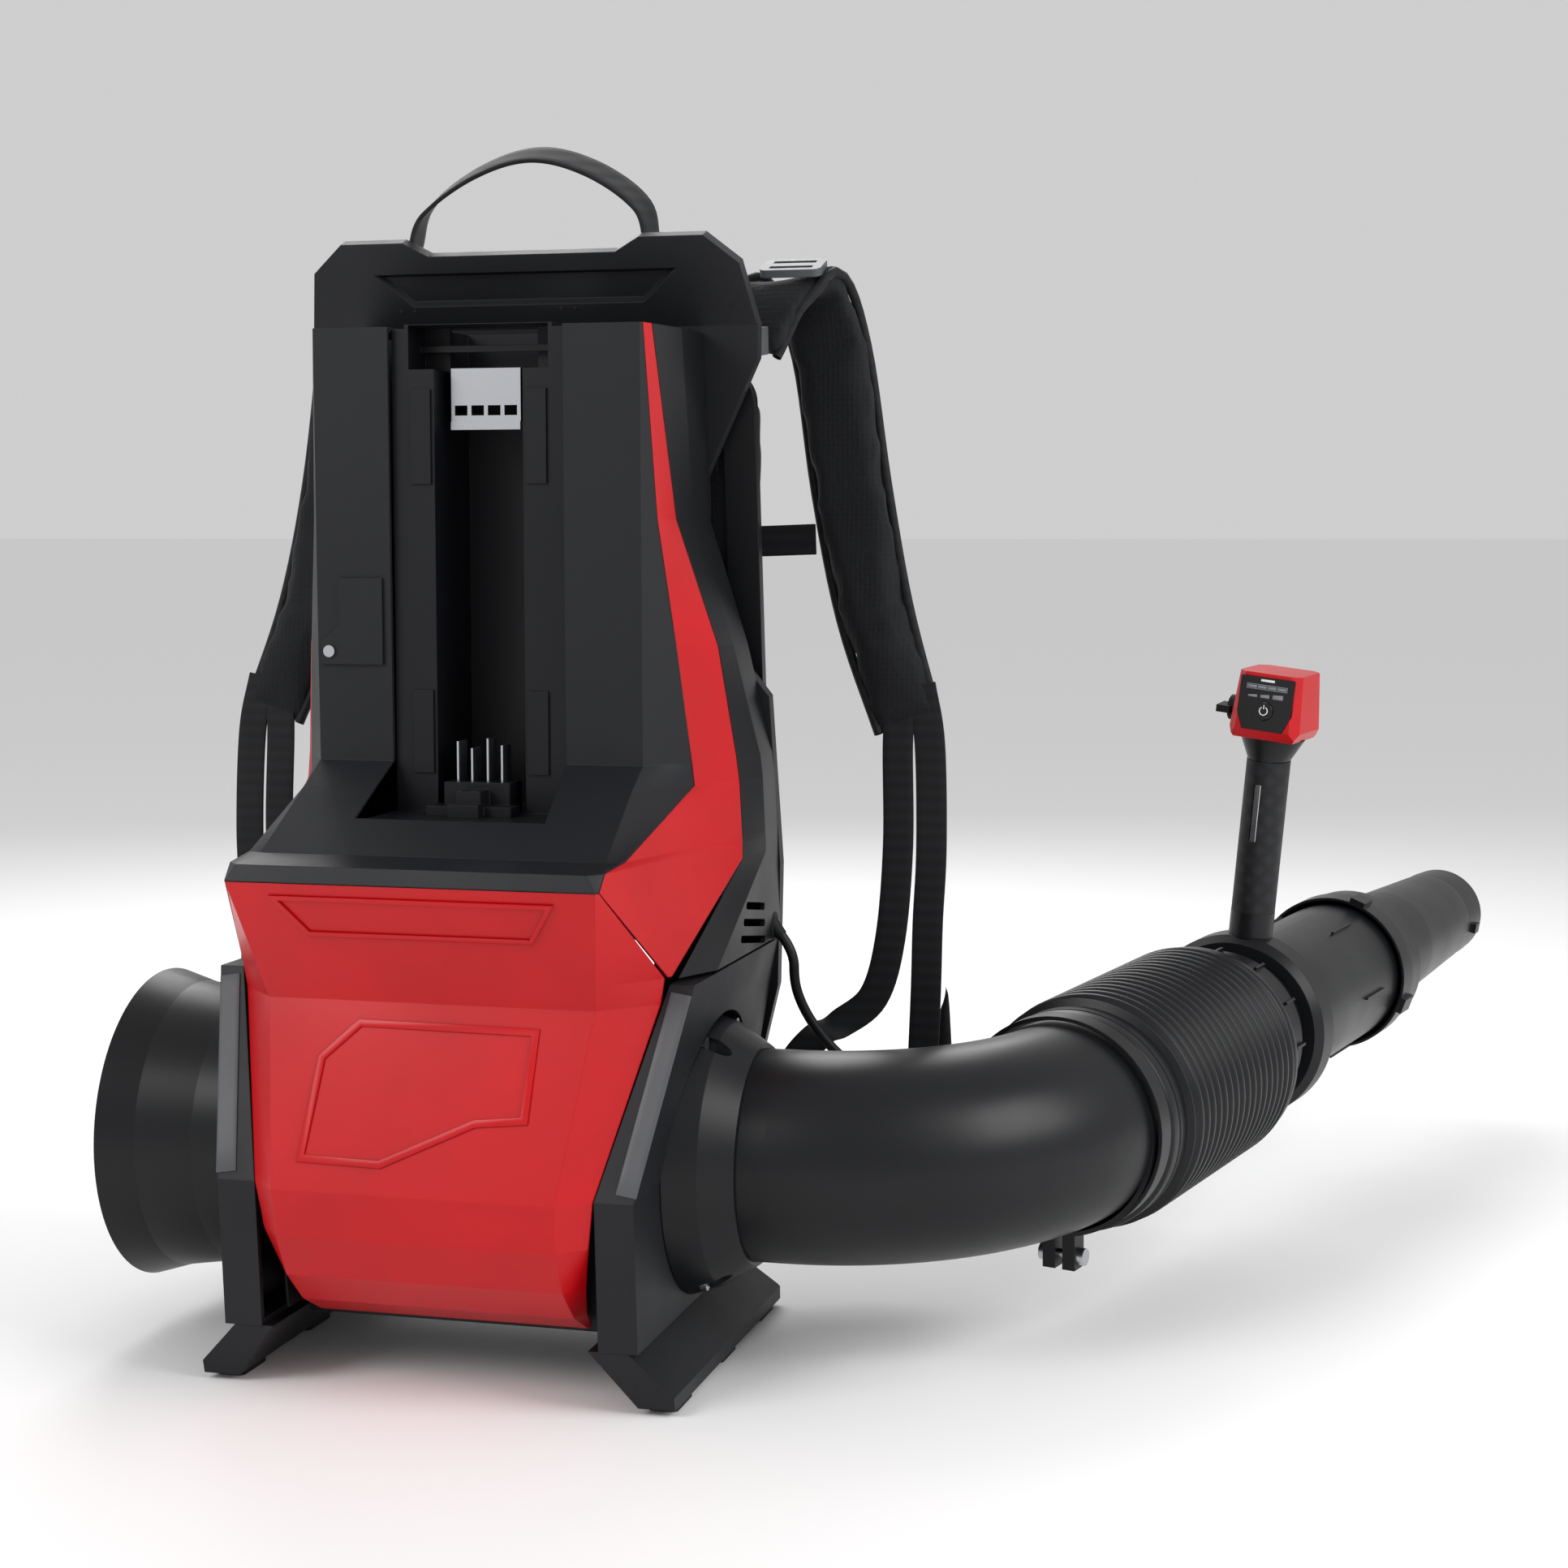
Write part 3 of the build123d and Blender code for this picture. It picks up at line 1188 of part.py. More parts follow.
STERNUM_Z = 497.0
with BuildPart() as sternum_strap:
    with Locations((0, 292, STERNUM_Z)):
        Box(2 * 157, WEB_THICK, WEBBING - 5)
    with Locations((0, 292, STERNUM_Z)):
        Box(44, 8, 30, mode=Mode.SUBTRACT)
save(sternum_strap.part, "sternum_strap")

with BuildPart() as sternum_buckle:
    with Locations((0, 292, STERNUM_Z)):
        Box(44, 7, 28)
    fillet(sternum_buckle.edges(), 2.5)
save(sternum_buckle.part, "sternum_buckle")

# Hip belt: a wing on each side, wrapped back and standing up at its end.
BELT_RUN = [(118, 256, 108), (165, 288, 104), (205, 303, 106), (230, 306, 120), (250, 304, 180)]
BELT_HIGH = [80, 76, 72, 66, 66]


def belt_wing():
    with BuildPart() as wing:
        for i, (point, high) in enumerate(zip(BELT_RUN, BELT_HIGH)):
            before = Vector(*BELT_RUN[max(i - 1, 0)])
            after = Vector(*BELT_RUN[min(i + 1, len(BELT_RUN) - 1)])
            along = after - before
            along = Vector(along.X, along.Y, 0).normalized()
            with BuildSketch(Plane(origin=point, x_dir=(0, 0, 1), z_dir=along)):
                Rectangle(high, 9)
        loft(ruled=True)
    return wing.part


with BuildPart() as hip_belt:
    add(belt_wing())
    mirror(about=Plane.YZ)
save(hip_belt.part, "hip_belt")

# Grab loop over the top, and the steel loops that hold the load straps.
LOOP = [(-79, 186.6, 676), (-71, 190, 702), (-46, 192, 722), (-14, 193, 735), (14, 193, 735)]
LOOP += [(46, 192, 722), (71, 190, 702), (79, 186.6, 676)]
with BuildPart() as grab_loop:
    for i, point in enumerate(LOOP):
        before = Vector(*LOOP[max(i - 1, 0)])
        after = Vector(*LOOP[min(i + 1, len(LOOP) - 1)])
        along = (after - before).normalized()
        with BuildSketch(Plane(origin=point, x_dir=(0, 1, 0), z_dir=along)):
            Rectangle(WEBBING, 3)
    loft(ruled=True)
save(grab_loop.part, "grab_loop")

with BuildPart() as strap_anchors:
    with BuildSketch(BACK):
        with Locations((-138, -12), (138, -12)):
            Rectangle(15, 17)
            Rectangle(9, 9, mode=Mode.SUBTRACT)
    extrude(amount=-20)
save(strap_anchors.part, "strap_anchors")

print(len(made), "nodes")
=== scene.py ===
"""Studio model of a battery backpack leaf blower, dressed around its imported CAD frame."""
import json
import logging
import math
from dataclasses import dataclass
from enum import Enum
from typing import Sequence

import bpy
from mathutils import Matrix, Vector


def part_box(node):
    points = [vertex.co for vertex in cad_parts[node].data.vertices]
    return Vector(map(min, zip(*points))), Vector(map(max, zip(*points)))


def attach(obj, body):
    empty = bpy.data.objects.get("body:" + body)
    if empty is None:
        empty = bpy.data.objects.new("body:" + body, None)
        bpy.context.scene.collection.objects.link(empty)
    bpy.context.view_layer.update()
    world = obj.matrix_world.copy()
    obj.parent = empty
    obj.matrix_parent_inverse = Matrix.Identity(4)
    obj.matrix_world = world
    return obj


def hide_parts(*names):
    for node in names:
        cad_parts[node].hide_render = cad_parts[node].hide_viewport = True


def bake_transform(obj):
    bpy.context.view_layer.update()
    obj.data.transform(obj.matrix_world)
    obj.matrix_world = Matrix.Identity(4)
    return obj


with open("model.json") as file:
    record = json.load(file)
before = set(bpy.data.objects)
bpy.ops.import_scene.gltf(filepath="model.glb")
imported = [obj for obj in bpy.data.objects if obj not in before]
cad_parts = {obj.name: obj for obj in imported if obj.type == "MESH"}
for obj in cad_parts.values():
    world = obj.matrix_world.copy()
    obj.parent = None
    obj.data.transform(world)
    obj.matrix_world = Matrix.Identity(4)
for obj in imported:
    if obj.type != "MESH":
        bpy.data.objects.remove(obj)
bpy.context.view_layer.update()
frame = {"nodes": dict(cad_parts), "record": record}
LOG = logging.getLogger("leaf_blower")
NODES = frame["nodes"]
JOINTS = {joint["name"]: joint for joint in frame["record"]["behaviour"]["joints"]}
MM = 1000.0
WELD = 0.00001


def middle(node: str) -> Vector:
    """Middle of a CAD node's box."""
    low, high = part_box(node)
    return (Vector(low) + Vector(high)) / 2


# The casing's own zero: halfway across the housing, on the fan's axis less its depth.
CASING_ZERO = Vector((middle("tower_housing").x, middle("motor_shaft").y - 0.122, 0.0))


def at(x: float, y: float, z: float) -> Vector:
    """Point in the frame from millimetres in the casing's own coordinates."""
    return CASING_ZERO + Vector((x, y, z)) / MM


def joint_axis(name: str) -> Vector:
    """Unit axis of one of the machine's joints."""
    return Vector(JOINTS[name]["axis"]).normalized()


def side_name(side: int) -> str:
    """Word for a side of the machine, 1 for the duct side and -1 for the intake side."""
    return "right" if side > 0 else "left"


def linear(code: str) -> tuple[float, float, float, float]:
    """Linear colour of an sRGB hex code."""
    parts = (int(code[i : i + 2], 16) / 255 for i in (1, 3, 5))
    red, green, blue = (c / 12.92 if c <= 0.04045 else ((c + 0.055) / 1.055) ** 2.4 for c in parts)
    return red, green, blue, 1.0


def add_node(
    tree: bpy.types.NodeTree, kind: str, settings: dict | None = None, links: dict | None = None
) -> bpy.types.Node:
    """Add a node with its settings and links.

    Args:
        tree: The material's node tree.
        kind: Blender's name of the node.
        settings: Socket values by name or number, or the node's own properties.
        links: Output sockets by the input they feed.

    Returns:
        The new node.
    """
    node = tree.nodes.new(kind)
    for key, value in (settings or {}).items():
        if isinstance(key, str) and hasattr(node, key):
            setattr(node, key, value)
        else:
            node.inputs[key].default_value = value
    for key, socket in (links or {}).items():
        tree.links.new(socket, node.inputs[key])
    return node


class Texture(Enum):
    """Relief that a finish carries."""

    SPARK = "fine spark-eroded grain"
    SATIN = "nearly smooth mould"
    WEAVE = "plain weave"
    RIB = "ribbed webbing"
    SPACER = "spacer mesh with open cells"
    BRUSHED = "brushed metal"
    KNURL = "small diamonds"


# Directions, in radians, that each woven or knurled relief runs in.
THREAD_TURNS = {Texture.KNURL: (0.785, -0.785), Texture.WEAVE: (0.0, 1.571), Texture.RIB: (0.0,)}


@dataclass(frozen=True)
class Finish:
    """One surface finish.

    The relief's pitch is in millimetres, and coarser than life where it would not show.
    """

    name: str
    colour: str
    shade: str
    roughness: float
    texture: Texture = Texture.SATIN
    pitch: float = 1.0
    depth: float = 0.2
    metallic: float = 0.0
    coat: float = 0.0
    sheen: float = 0.0
    edge: float = 0.0
    gloss: float = 0.28

    def relief(self, tree: bpy.types.NodeTree, place: bpy.types.NodeSocket) -> bpy.types.NodeSocket:
        """Height of the relief, from object coordinates.

        Args:
            tree: The material's node tree.
            place: Output socket that holds the object coordinates.

        Returns:
            Output socket with the height.
        """
        scale = MM / self.pitch
        at_place = {"Vector": place}
        if self.texture in (Texture.SPARK, Texture.SATIN):
            grain = {"Scale": scale / 2, "Detail": 2.0}
            return add_node(tree, "ShaderNodeTexNoise", grain, at_place).outputs[0]
        if self.texture is Texture.BRUSHED:
            drawn = add_node(tree, "ShaderNodeMapping", {"Scale": (1, 1, 18)}, at_place).outputs[0]
            lines = {"Scale": scale / 6, "Detail": 3.0}
            return add_node(tree, "ShaderNodeTexNoise", lines, {"Vector": drawn}).outputs[0]
        if self.texture is Texture.SPACER:
            cells = {"Scale": scale, "Randomness": 0.25}
            return add_node(tree, "ShaderNodeTexVoronoi", cells, at_place).outputs["Distance"]
        threads = {"bands_direction": "Z", "Scale": scale / 20, "Distortion": 0.4, "Detail": 1.0}
        waves = []
        for turn in THREAD_TURNS[self.texture]:
            rotation = {"Rotation": (0.0, turn, 0.0)}
            turned = add_node(tree, "ShaderNodeMapping", rotation, at_place).outputs[0]
            waves.append(add_node(tree, "ShaderNodeTexWave", threads, {"Vector": turned}).outputs[1])
        if len(waves) == 1:
            return waves[0]
        crossed = {0: waves[0], 1: waves[1]}
        return add_node(tree, "ShaderNodeMath", {"operation": "MAXIMUM"}, crossed).outputs[0]

    def material(self) -> bpy.types.Material:
        """Build the node material for this finish.

        Returns:
            The material.
        """
        material = bpy.data.materials.new(self.name)
        material.use_nodes = True
        tree = material.node_tree
        tree.nodes.clear()
        place = add_node(tree, "ShaderNodeTexCoord").outputs["Object"]
        shader = add_node(
            tree,
            "ShaderNodeBsdfPrincipled",
            {
                "Metallic": self.metallic,
                "Specular IOR Level": self.gloss,
                "Coat Weight": self.coat,
                "Coat Roughness": 0.12,
                "Sheen Weight": self.sheen,
            },
        )
        cloud = add_node(tree, "ShaderNodeTexNoise", {"Scale": 14.0, "Detail": 4.0}, {"Vector": place})
        height = self.relief(tree, place)
        spread = add_node(
            tree,
            "ShaderNodeMapRange",
            {"From Min": 0.3, "From Max": 0.7, "To Min": 0.0, "To Max": 0.55},
            {"Value": cloud.outputs[0]},
        )
        tone = spread.outputs[0]
        # Woven, ribbed, meshed and knurled finishes take their tone from the relief; on the spacer mesh this
        # paints shade into the open cells.
        if self.texture in (Texture.WEAVE, Texture.RIB, Texture.SPACER, Texture.KNURL):
            scaled = {"operation": "MULTIPLY", 1: 0.9}
            tone = add_node(tree, "ShaderNodeMath", scaled, {0: height}).outputs[0]
        colour = add_node(
            tree,
            "ShaderNodeMix",
            {"data_type": "RGBA", 6: linear(self.colour), 7: linear(self.shade)},
            {0: tone},
        ).outputs[2]
        normal_links = {"Height": height}
        if self.edge:
            rounded = add_node(tree, "ShaderNodeBevel", {"samples": 4, "Radius": self.edge / MM})
            normal_links["Normal"] = rounded.outputs[0]
        bump = add_node(
            tree, "ShaderNodeBump", {"Strength": 0.6, "Distance": self.depth / MM}, normal_links
        )
        rough = add_node(
            tree,
            "ShaderNodeMapRange",
            {
                "From Min": 0.25,
                "From Max": 0.75,
                "To Min": self.roughness - 0.05,
                "To Max": self.roughness + 0.06,
            },
            {"Value": cloud.outputs[0]},
        )
        tree.links.new(colour, shader.inputs["Base Color"])
        tree.links.new(rough.outputs[0], shader.inputs["Roughness"])
        tree.links.new(bump.outputs[0], shader.inputs["Normal"])
        out = add_node(tree, "ShaderNodeOutputMaterial")
        tree.links.new(shader.outputs[0], out.inputs[0])
        return material


# Spark-eroded glass-filled nylon: broad dull highlights broken by a fine grain.
CHARCOAL = Finish("spark_eroded_nylon", "#191a1e", "#121317", 0.46, Texture.SPARK, 1.1, 0.10, edge=0.9)
# Moulded black nylon: smoother, with soft long highlights.
BLACK = Finish("moulded_black_nylon", "#121316", "#0c0d10", 0.36, Texture.SATIN, 2.0, 0.04, edge=0.8)
# Deep recess plastic: the same nylon, darkened with painted shade where little light reaches.
SHADE_BLACK = Finish("painted_shade_nylon", "#0c0d13", "#07080c", 0.42, Texture.SATIN, 2.0, 0.04, edge=0.6)
# Moulded ABS in signal red: a soft gloss with a bright broad highlight.
RED = Finish("moulded_red_abs", "#c00812", "#a8060f", 0.36, Texture.SATIN, 2.2, 0.03, coat=0.10, edge=1.0)
# Thermoplastic rubber: dull, with a fine tooth.
RUBBER = Finish("thermoplastic_rubber", "#131416", "#0c0d0f", 0.60, Texture.SPARK, 0.9, 0.06, edge=0.6)
# Grip overmould: small diamonds pressed into rubber.
GRIP = Finish("knurled_grip_rubber", "#1f2023", "#0e0f11", 0.52, Texture.KNURL, 1.6, 0.16)
# Bellows: extruded thermoplastic, a little glossy on each fold.
FOLDS = Finish("bellows_rubber", "#151619", "#0f1012", 0.36, Texture.SATIN, 3.0, 0.05)
# Zinc-plated steel, brushed: bright with fine drawn lines.
STEEL = Finish("brushed_steel", "#c9cbcf", "#aeb1b6", 0.28, Texture.BRUSHED, 0.8, 0.02, metallic=1.0)
# Die-cast aluminium: grey, with a fine blasted grain.
ALLOY = Finish("cast_alloy", "#b4b7bb", "#93969b", 0.40, Texture.SPARK, 1.0, 0.05, metallic=1.0)
# Metallised trim: mirror-like silver plastic.
TRIM = Finish("metallised_trim", "#d6d8db", "#c4c6ca", 0.20, Texture.SATIN, 2.0, 0.01, metallic=1.0)
# Acetal buckles: grey, waxy.
BUCKLE = Finish("acetal_buckle", "#515356", "#45474a", 0.38, Texture.SATIN, 2.0, 0.03, edge=0.8)
# Woven polyester webbing: fine cross ribs, a faint sheen.
WEBBING = Finish("polyester_webbing", "#0e1015", "#040507", 0.66, Texture.RIB, 1.3, 0.22, sheen=0.08)
# Nylon pack cloth: close plain weave.
CLOTH = Finish("nylon_pack_cloth", "#101218", "#060709", 0.70, Texture.WEAVE, 1.4, 0.18, sheen=0.06)
# Spacer mesh: knitted open cells that read as rows of dots, the cells darkened with painted shade.
SPACER = Finish("knitted_spacer_mesh", "#050608", "#13151b", 0.76, Texture.SPACER, 3.2, 0.7, sheen=0.06)
# Display window: smoked acrylic.
WINDOW = Finish("smoked_acrylic", "#101013", "#0c0c0f", 0.16, Texture.SATIN, 3.0, 0.005, coat=0.4)
# Cable's sheath: soft PVC, matt black.
SHEATH = Finish("pvc_sheath", "#17181a", "#101113", 0.40, Texture.SATIN, 2.0, 0.03)
# Display symbols: screen-printed ink, flat.
PRINT_GREY = Finish("printed_grey", "#85878c", "#7b7d82", 0.5)
PRINT_WHITE = Finish("printed_white", "#e9eaec", "#dfe0e3", 0.45)
# Bottom of a small drilled hole, where no light reaches.
GROOVE = Finish("shadow_groove", "#060607", "#040405", 0.7)
# Legs' front strip: the same nylon, painted lighter as a highlight along the edge.
HIGHLIGHT_STRIP = Finish("painted_highlight_nylon", "#55575b", "#45474a", 0.38, Texture.SPARK, 1.1, 0.06, edge=0.5)

DRESSING: dict[Finish, tuple[str, ...]] = {
    CHARCOAL: ("tower_housing", "back_frame", "leg_frame_right", "leg_frame_left", "feet", "service_door"),
    BLACK: (
        "side_cover_right", "side_cover_left", "fan_housing", "intake_bell", "outlet_collar", "elbow_duct",
        "elbow_clamp", "control_tube", "nozzle_coupling", "nozzle_tube", "handle_clamp", "handle_stem",
        "impeller", "stator", "controller_box", "pad_frame", "cable_inlet",
    ),
    # Painted shade: the battery bay's pieces take the darkened copy of the nylon.
    SHADE_BLACK: ("bay_liner", "terminal_block", "bay_pads"),
    RED: ("front_panel", "side_panel_right", "side_panel_left", "control_head"),
    RUBBER: ("foot_pads", "trigger", "lock_lever", "cable_gland"),
    GRIP: ("grip_sleeve",),
    FOLDS: ("bellows",),
    STEEL: (
        "latch_strike", "terminal_blades", "casing_screws", "clamp_screw", "motor_shaft", "trigger_pin",
        "intake_guard", "strap_anchors",
    ),
    ALLOY: ("motor", "heat_sink"),
    TRIM: ("grip_insert",),
    BUCKLE: ("ladder_locks", "sternum_buckle"),
    WINDOW: ("display_panel", "power_button"),
}
MATERIALS: dict[Finish, bpy.types.Material] = {}


def dress(piece: bpy.types.Object, finish: Finish) -> None:
    """Give every slot of a piece one finish."""
    if finish not in MATERIALS:
        MATERIALS[finish] = finish.material()
    if not piece.data.materials:
        piece.data.materials.append(MATERIALS[finish])
    for slot in piece.material_slots:
        slot.material = MATERIALS[finish]


def pick(piece: bpy.types.Object) -> None:
    """Select and activate one object alone."""
    bpy.ops.object.select_all(action="DESELECT")
    piece.select_set(True)
    bpy.context.view_layer.objects.active = piece


def settle(
    piece: bpy.types.Object, name: str, body: str, finish: Finish, smooth: float = 35.0
) -> bpy.types.Object:
    """Name a finished piece, bake its place into its mesh, and give it a body and a finish.

    Args:
        piece: The object, with its modifiers still on it.
        name: The piece's name.
        body: The CAD body it rides on.
        finish: What it is made of.
        smooth: Angle in degrees under which edges are shaded smooth.

    Returns:
        The same object.
    """
    pick(piece)
    for modifier in list(piece.modifiers):
        bpy.ops.object.modifier_apply(modifier=modifier.name)
    bpy.ops.object.transform_apply(location=True, rotation=True, scale=True)
    bpy.ops.object.shade_smooth_by_angle(angle=math.radians(smooth))
    piece.name = name
    piece.data.name = name
    dress(piece, finish)
    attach(piece, body)
    LOG.info("%s: %d faces", name, len(piece.data.polygons))
    return piece


def weld(piece: bpy.types.Object) -> None:
    """Merge a mesh's doubled corners and turn its faces outwards."""
    pick(piece)
    bpy.ops.object.mode_set(mode="EDIT")
    bpy.ops.mesh.select_all(action="SELECT")
    bpy.ops.mesh.remove_doubles(threshold=WELD)
    bpy.ops.mesh.normals_make_consistent(inside=False)
    bpy.ops.object.mode_set(mode="OBJECT")


def modifier(piece: bpy.types.Object, kind: str, **settings: object) -> None:
    """Add a modifier with its settings.

    Args:
        piece: The object that gets it.
        kind: Blender's name of the modifier; in small letters it names the modifier too.
        settings: The modifier's properties.
    """
    added = piece.modifiers.new(kind.lower(), kind)
    for key, value in settings.items():
        setattr(added, key, value)


def polygon(points: Sequence[Vector]) -> bpy.types.Object:
    """Flat closed polygon through given points, from a circle with as many corners."""
    bpy.ops.object.select_all(action="DESELECT")
    bpy.ops.mesh.primitive_circle_add(vertices=len(points), radius=0.01, fill_type="NGON")
    piece = bpy.context.object
    for vertex, point in zip(piece.data.vertices, points):
        vertex.co = point
    piece.data.update()
    return piece


def ring(points: Sequence[Vector], width: float, height: float) -> bpy.types.Object:
    """Raised frame that follows a closed outline.

    Args:
        points: Corners of the outer edge.
        width: Width of the frame.
        height: How far it stands proud along the polygon's normal; negative for inwards.

    Returns:
        The frame, unfinished.
    """
    piece = polygon(points)
    pick(piece)
    bpy.ops.object.mode_set(mode="EDIT")
    bpy.ops.mesh.select_all(action="SELECT")
    bpy.ops.mesh.inset(thickness=width, depth=0.0)
    bpy.ops.mesh.delete(type="FACE")
    bpy.ops.object.mode_set(mode="OBJECT")
    modifier(piece, "SOLIDIFY", thickness=abs(height), offset=1.0 if height > 0 else -1.0)
    modifier(piece, "BEVEL", width=min(width, abs(height)) * 0.3, segments=2)
    return piece


def plate(points: Sequence[Vector], height: float, round_by: float = 0.3) -> bpy.types.Object:
    """Thin plate on an outline, standing proud along the outline's normal."""
    piece = polygon(points)
    modifier(piece, "SOLIDIFY", thickness=height, offset=1.0)
    modifier(piece, "BEVEL", width=height * round_by, segments=2)
    return piece


# Where rays at the casing start, in mm, well in front of it.
AHEAD = -600.0


def cast(node: str, x: float, z: float, lift: float = 0.3) -> Vector:
    """Point on the front of a CAD node.

    Args:
        node: The node's name.
        x: Millimetres across the casing.
        z: Millimetres up.
        lift: Millimetres that the point stands off the face.

    Returns:
        The point.
    """
    start = at(x, AHEAD, z)
    hit, place, normal, _ = NODES[node].ray_cast(start, Vector((0, 1, 0)))
    if not hit:
        raise ValueError(f"nothing of {node} at {x}, {z}")
    return place + normal * lift / MM


def smooth_run(points: Sequence[Vector], steps: int) -> list[Vector]:
    """Catmull-Rom run through given points.

    Args:
        points: The points of a strap or tape, in order.
        steps: Rows in each stretch between two points.

    Returns:
        The run's points.
    """
    padded = [points[0] * 2 - points[1], *points, points[-1] * 2 - points[-2]]
    run = []
    for a, b, c, d in zip(padded, padded[1:], padded[2:], padded[3:]):
        for i in range(steps):
            t = i / steps
            square = (2 * a - 5 * b + 4 * c - d) * t * t
            cube = (3 * b - a - 3 * c + d) * t**3
            run.append(0.5 * (2 * b + (c - a) * t + square + cube))
    return run + [points[-1]]


# Corners across a strap.
RIBBON_COLUMNS = 5


def ribbon(
    points: Sequence[Vector], widths: Sequence[float], across: Vector | None, thick: float, steps: int = 8
) -> bpy.types.Object:
    """Flat strap along a run of points.

    Args:
        points: Middle line of the strap.
        widths: Its width at each point.
        across: Direction of its width, or None to follow the run sideways.
        thick: Its thickness.
        steps: Rows in each stretch.

    Returns:
        The strap, with its modifiers on it.
    """
    line = smooth_run(points, steps)
    sizes = [v.x for v in smooth_run([Vector((w, 0, 0)) for w in widths], steps)]
    columns = RIBBON_COLUMNS
    bpy.ops.object.select_all(action="DESELECT")
    bpy.ops.mesh.primitive_grid_add(x_subdivisions=columns - 1, y_subdivisions=len(line) - 1, size=1)
    piece = bpy.context.object
    for index, vertex in enumerate(piece.data.vertices):
        row, column = divmod(index, columns)
        before, after = line[max(row - 1, 0)], line[min(row + 1, len(line) - 1)]
        along = (after - before).normalized()
        side = across
        if side is None:
            face = along.cross(Vector((1, 0, 0))).normalized()
            side = face.cross(along)
        side = (side - along * side.dot(along)).normalized()
        vertex.co = line[row] + side * sizes[row] * (column / (columns - 1) - 0.5)
    modifier(piece, "SOLIDIFY", thickness=thick, offset=0.0)
    modifier(piece, "BEVEL", width=thick * 0.3, segments=2)
    return piece


def piping(points: Sequence[Vector], radius: float) -> bpy.types.Object:
    """Round binding along a run of points.

    Args:
        points: Its middle line.
        radius: Its radius.

    Returns:
        The binding, as a mesh.
    """
    curve = bpy.data.curves.new("binding", "CURVE")
    curve.dimensions = "3D"
    curve.bevel_depth = radius
    curve.bevel_resolution = 2
    spline = curve.splines.new("POLY")
    spline.points.add(len(points) - 1)
    for target, point in zip(spline.points, points):
        target.co = (*point, 1.0)
    holder = bpy.data.objects.new("binding", curve)
    bpy.context.collection.objects.link(holder)
    pick(holder)
    bpy.ops.object.convert(target="MESH")
    return bpy.context.object


@dataclass(frozen=True)
class Lamp:
    """One soft square light: its place in mm, size in metres and power in watts."""

    name: str
    place: tuple[float, float, float]
    size: float
    power: float


LAMPS = (
    Lamp("key_light", (-1500, -1900, 1900), 1.3, 32.0),
    Lamp("side_light", (1900, -300, 1300), 1.2, 26.0),
    Lamp("back_light", (-500, 1900, 1700), 1.4, 24.0),
)


@dataclass
class Studio:
    """Pale floor, soft lights and the camera; places in mm, angles in degrees."""

    lens: float = 62.07
    sensor: float = 36.0
    turn: float = 14.5
    down: float = 5.27
    camera_place: tuple[float, float, float] = (580.5, -1430.0, 500.0)
    lit_place: tuple[float, float, float] = (150, 250, 350)
    floor_size: float = 600.0
    sky: float = 0.62

    def build(self) -> None:
        """Lay the floor and place lights and camera."""
        self.floor()
        world = bpy.data.worlds.new("studio")
        bpy.context.scene.world = world
        world.use_nodes = True
        background = world.node_tree.nodes["Background"]
        background.inputs["Color"].default_value = linear("#ffffff")
        background.inputs["Strength"].default_value = self.sky
        for lamp in LAMPS:
            self.hang(lamp)
        self.camera()
        bpy.context.scene.view_settings.view_transform = "Standard"

    def floor(self) -> None:
        """Lay a wide sheet of pale paper under the machine."""
        bpy.ops.object.select_all(action="DESELECT")
        bpy.ops.mesh.primitive_plane_add(size=self.floor_size, location=(0, 0, 0))
        floor = bpy.context.object
        floor.name = "floor"
        paper = bpy.data.materials.new("seamless_paper")
        paper.use_nodes = True
        shader = paper.node_tree.nodes["Principled BSDF"]
        shader.inputs["Base Color"].default_value = linear("#f6f6f6")
        shader.inputs["Roughness"].default_value = 0.8
        floor.data.materials.append(paper)

    def camera(self) -> None:
        """Set the camera up in front of the machine."""
        camera = bpy.data.cameras.new("camera")
        camera.lens = self.lens
        camera.sensor_width = self.sensor
        holder = bpy.data.objects.new("camera", camera)
        holder.location = at(*self.camera_place)
        holder.rotation_euler = (math.radians(90 - self.down), 0.0, math.radians(self.turn))
        bpy.context.collection.objects.link(holder)
        bpy.context.scene.camera = holder

    def hang(self, lamp: Lamp) -> None:
        """Hang one light, turned to the machine's middle."""
        light = bpy.data.lights.new(lamp.name, "AREA")
        light.energy = lamp.power
        light.size = lamp.size
        holder = bpy.data.objects.new(lamp.name, light)
        holder.location = at(*lamp.place)
        aim = at(*self.lit_place) - holder.location
        holder.rotation_euler = aim.to_track_quat("-Z", "Y").to_euler()
        bpy.context.collection.objects.link(holder)


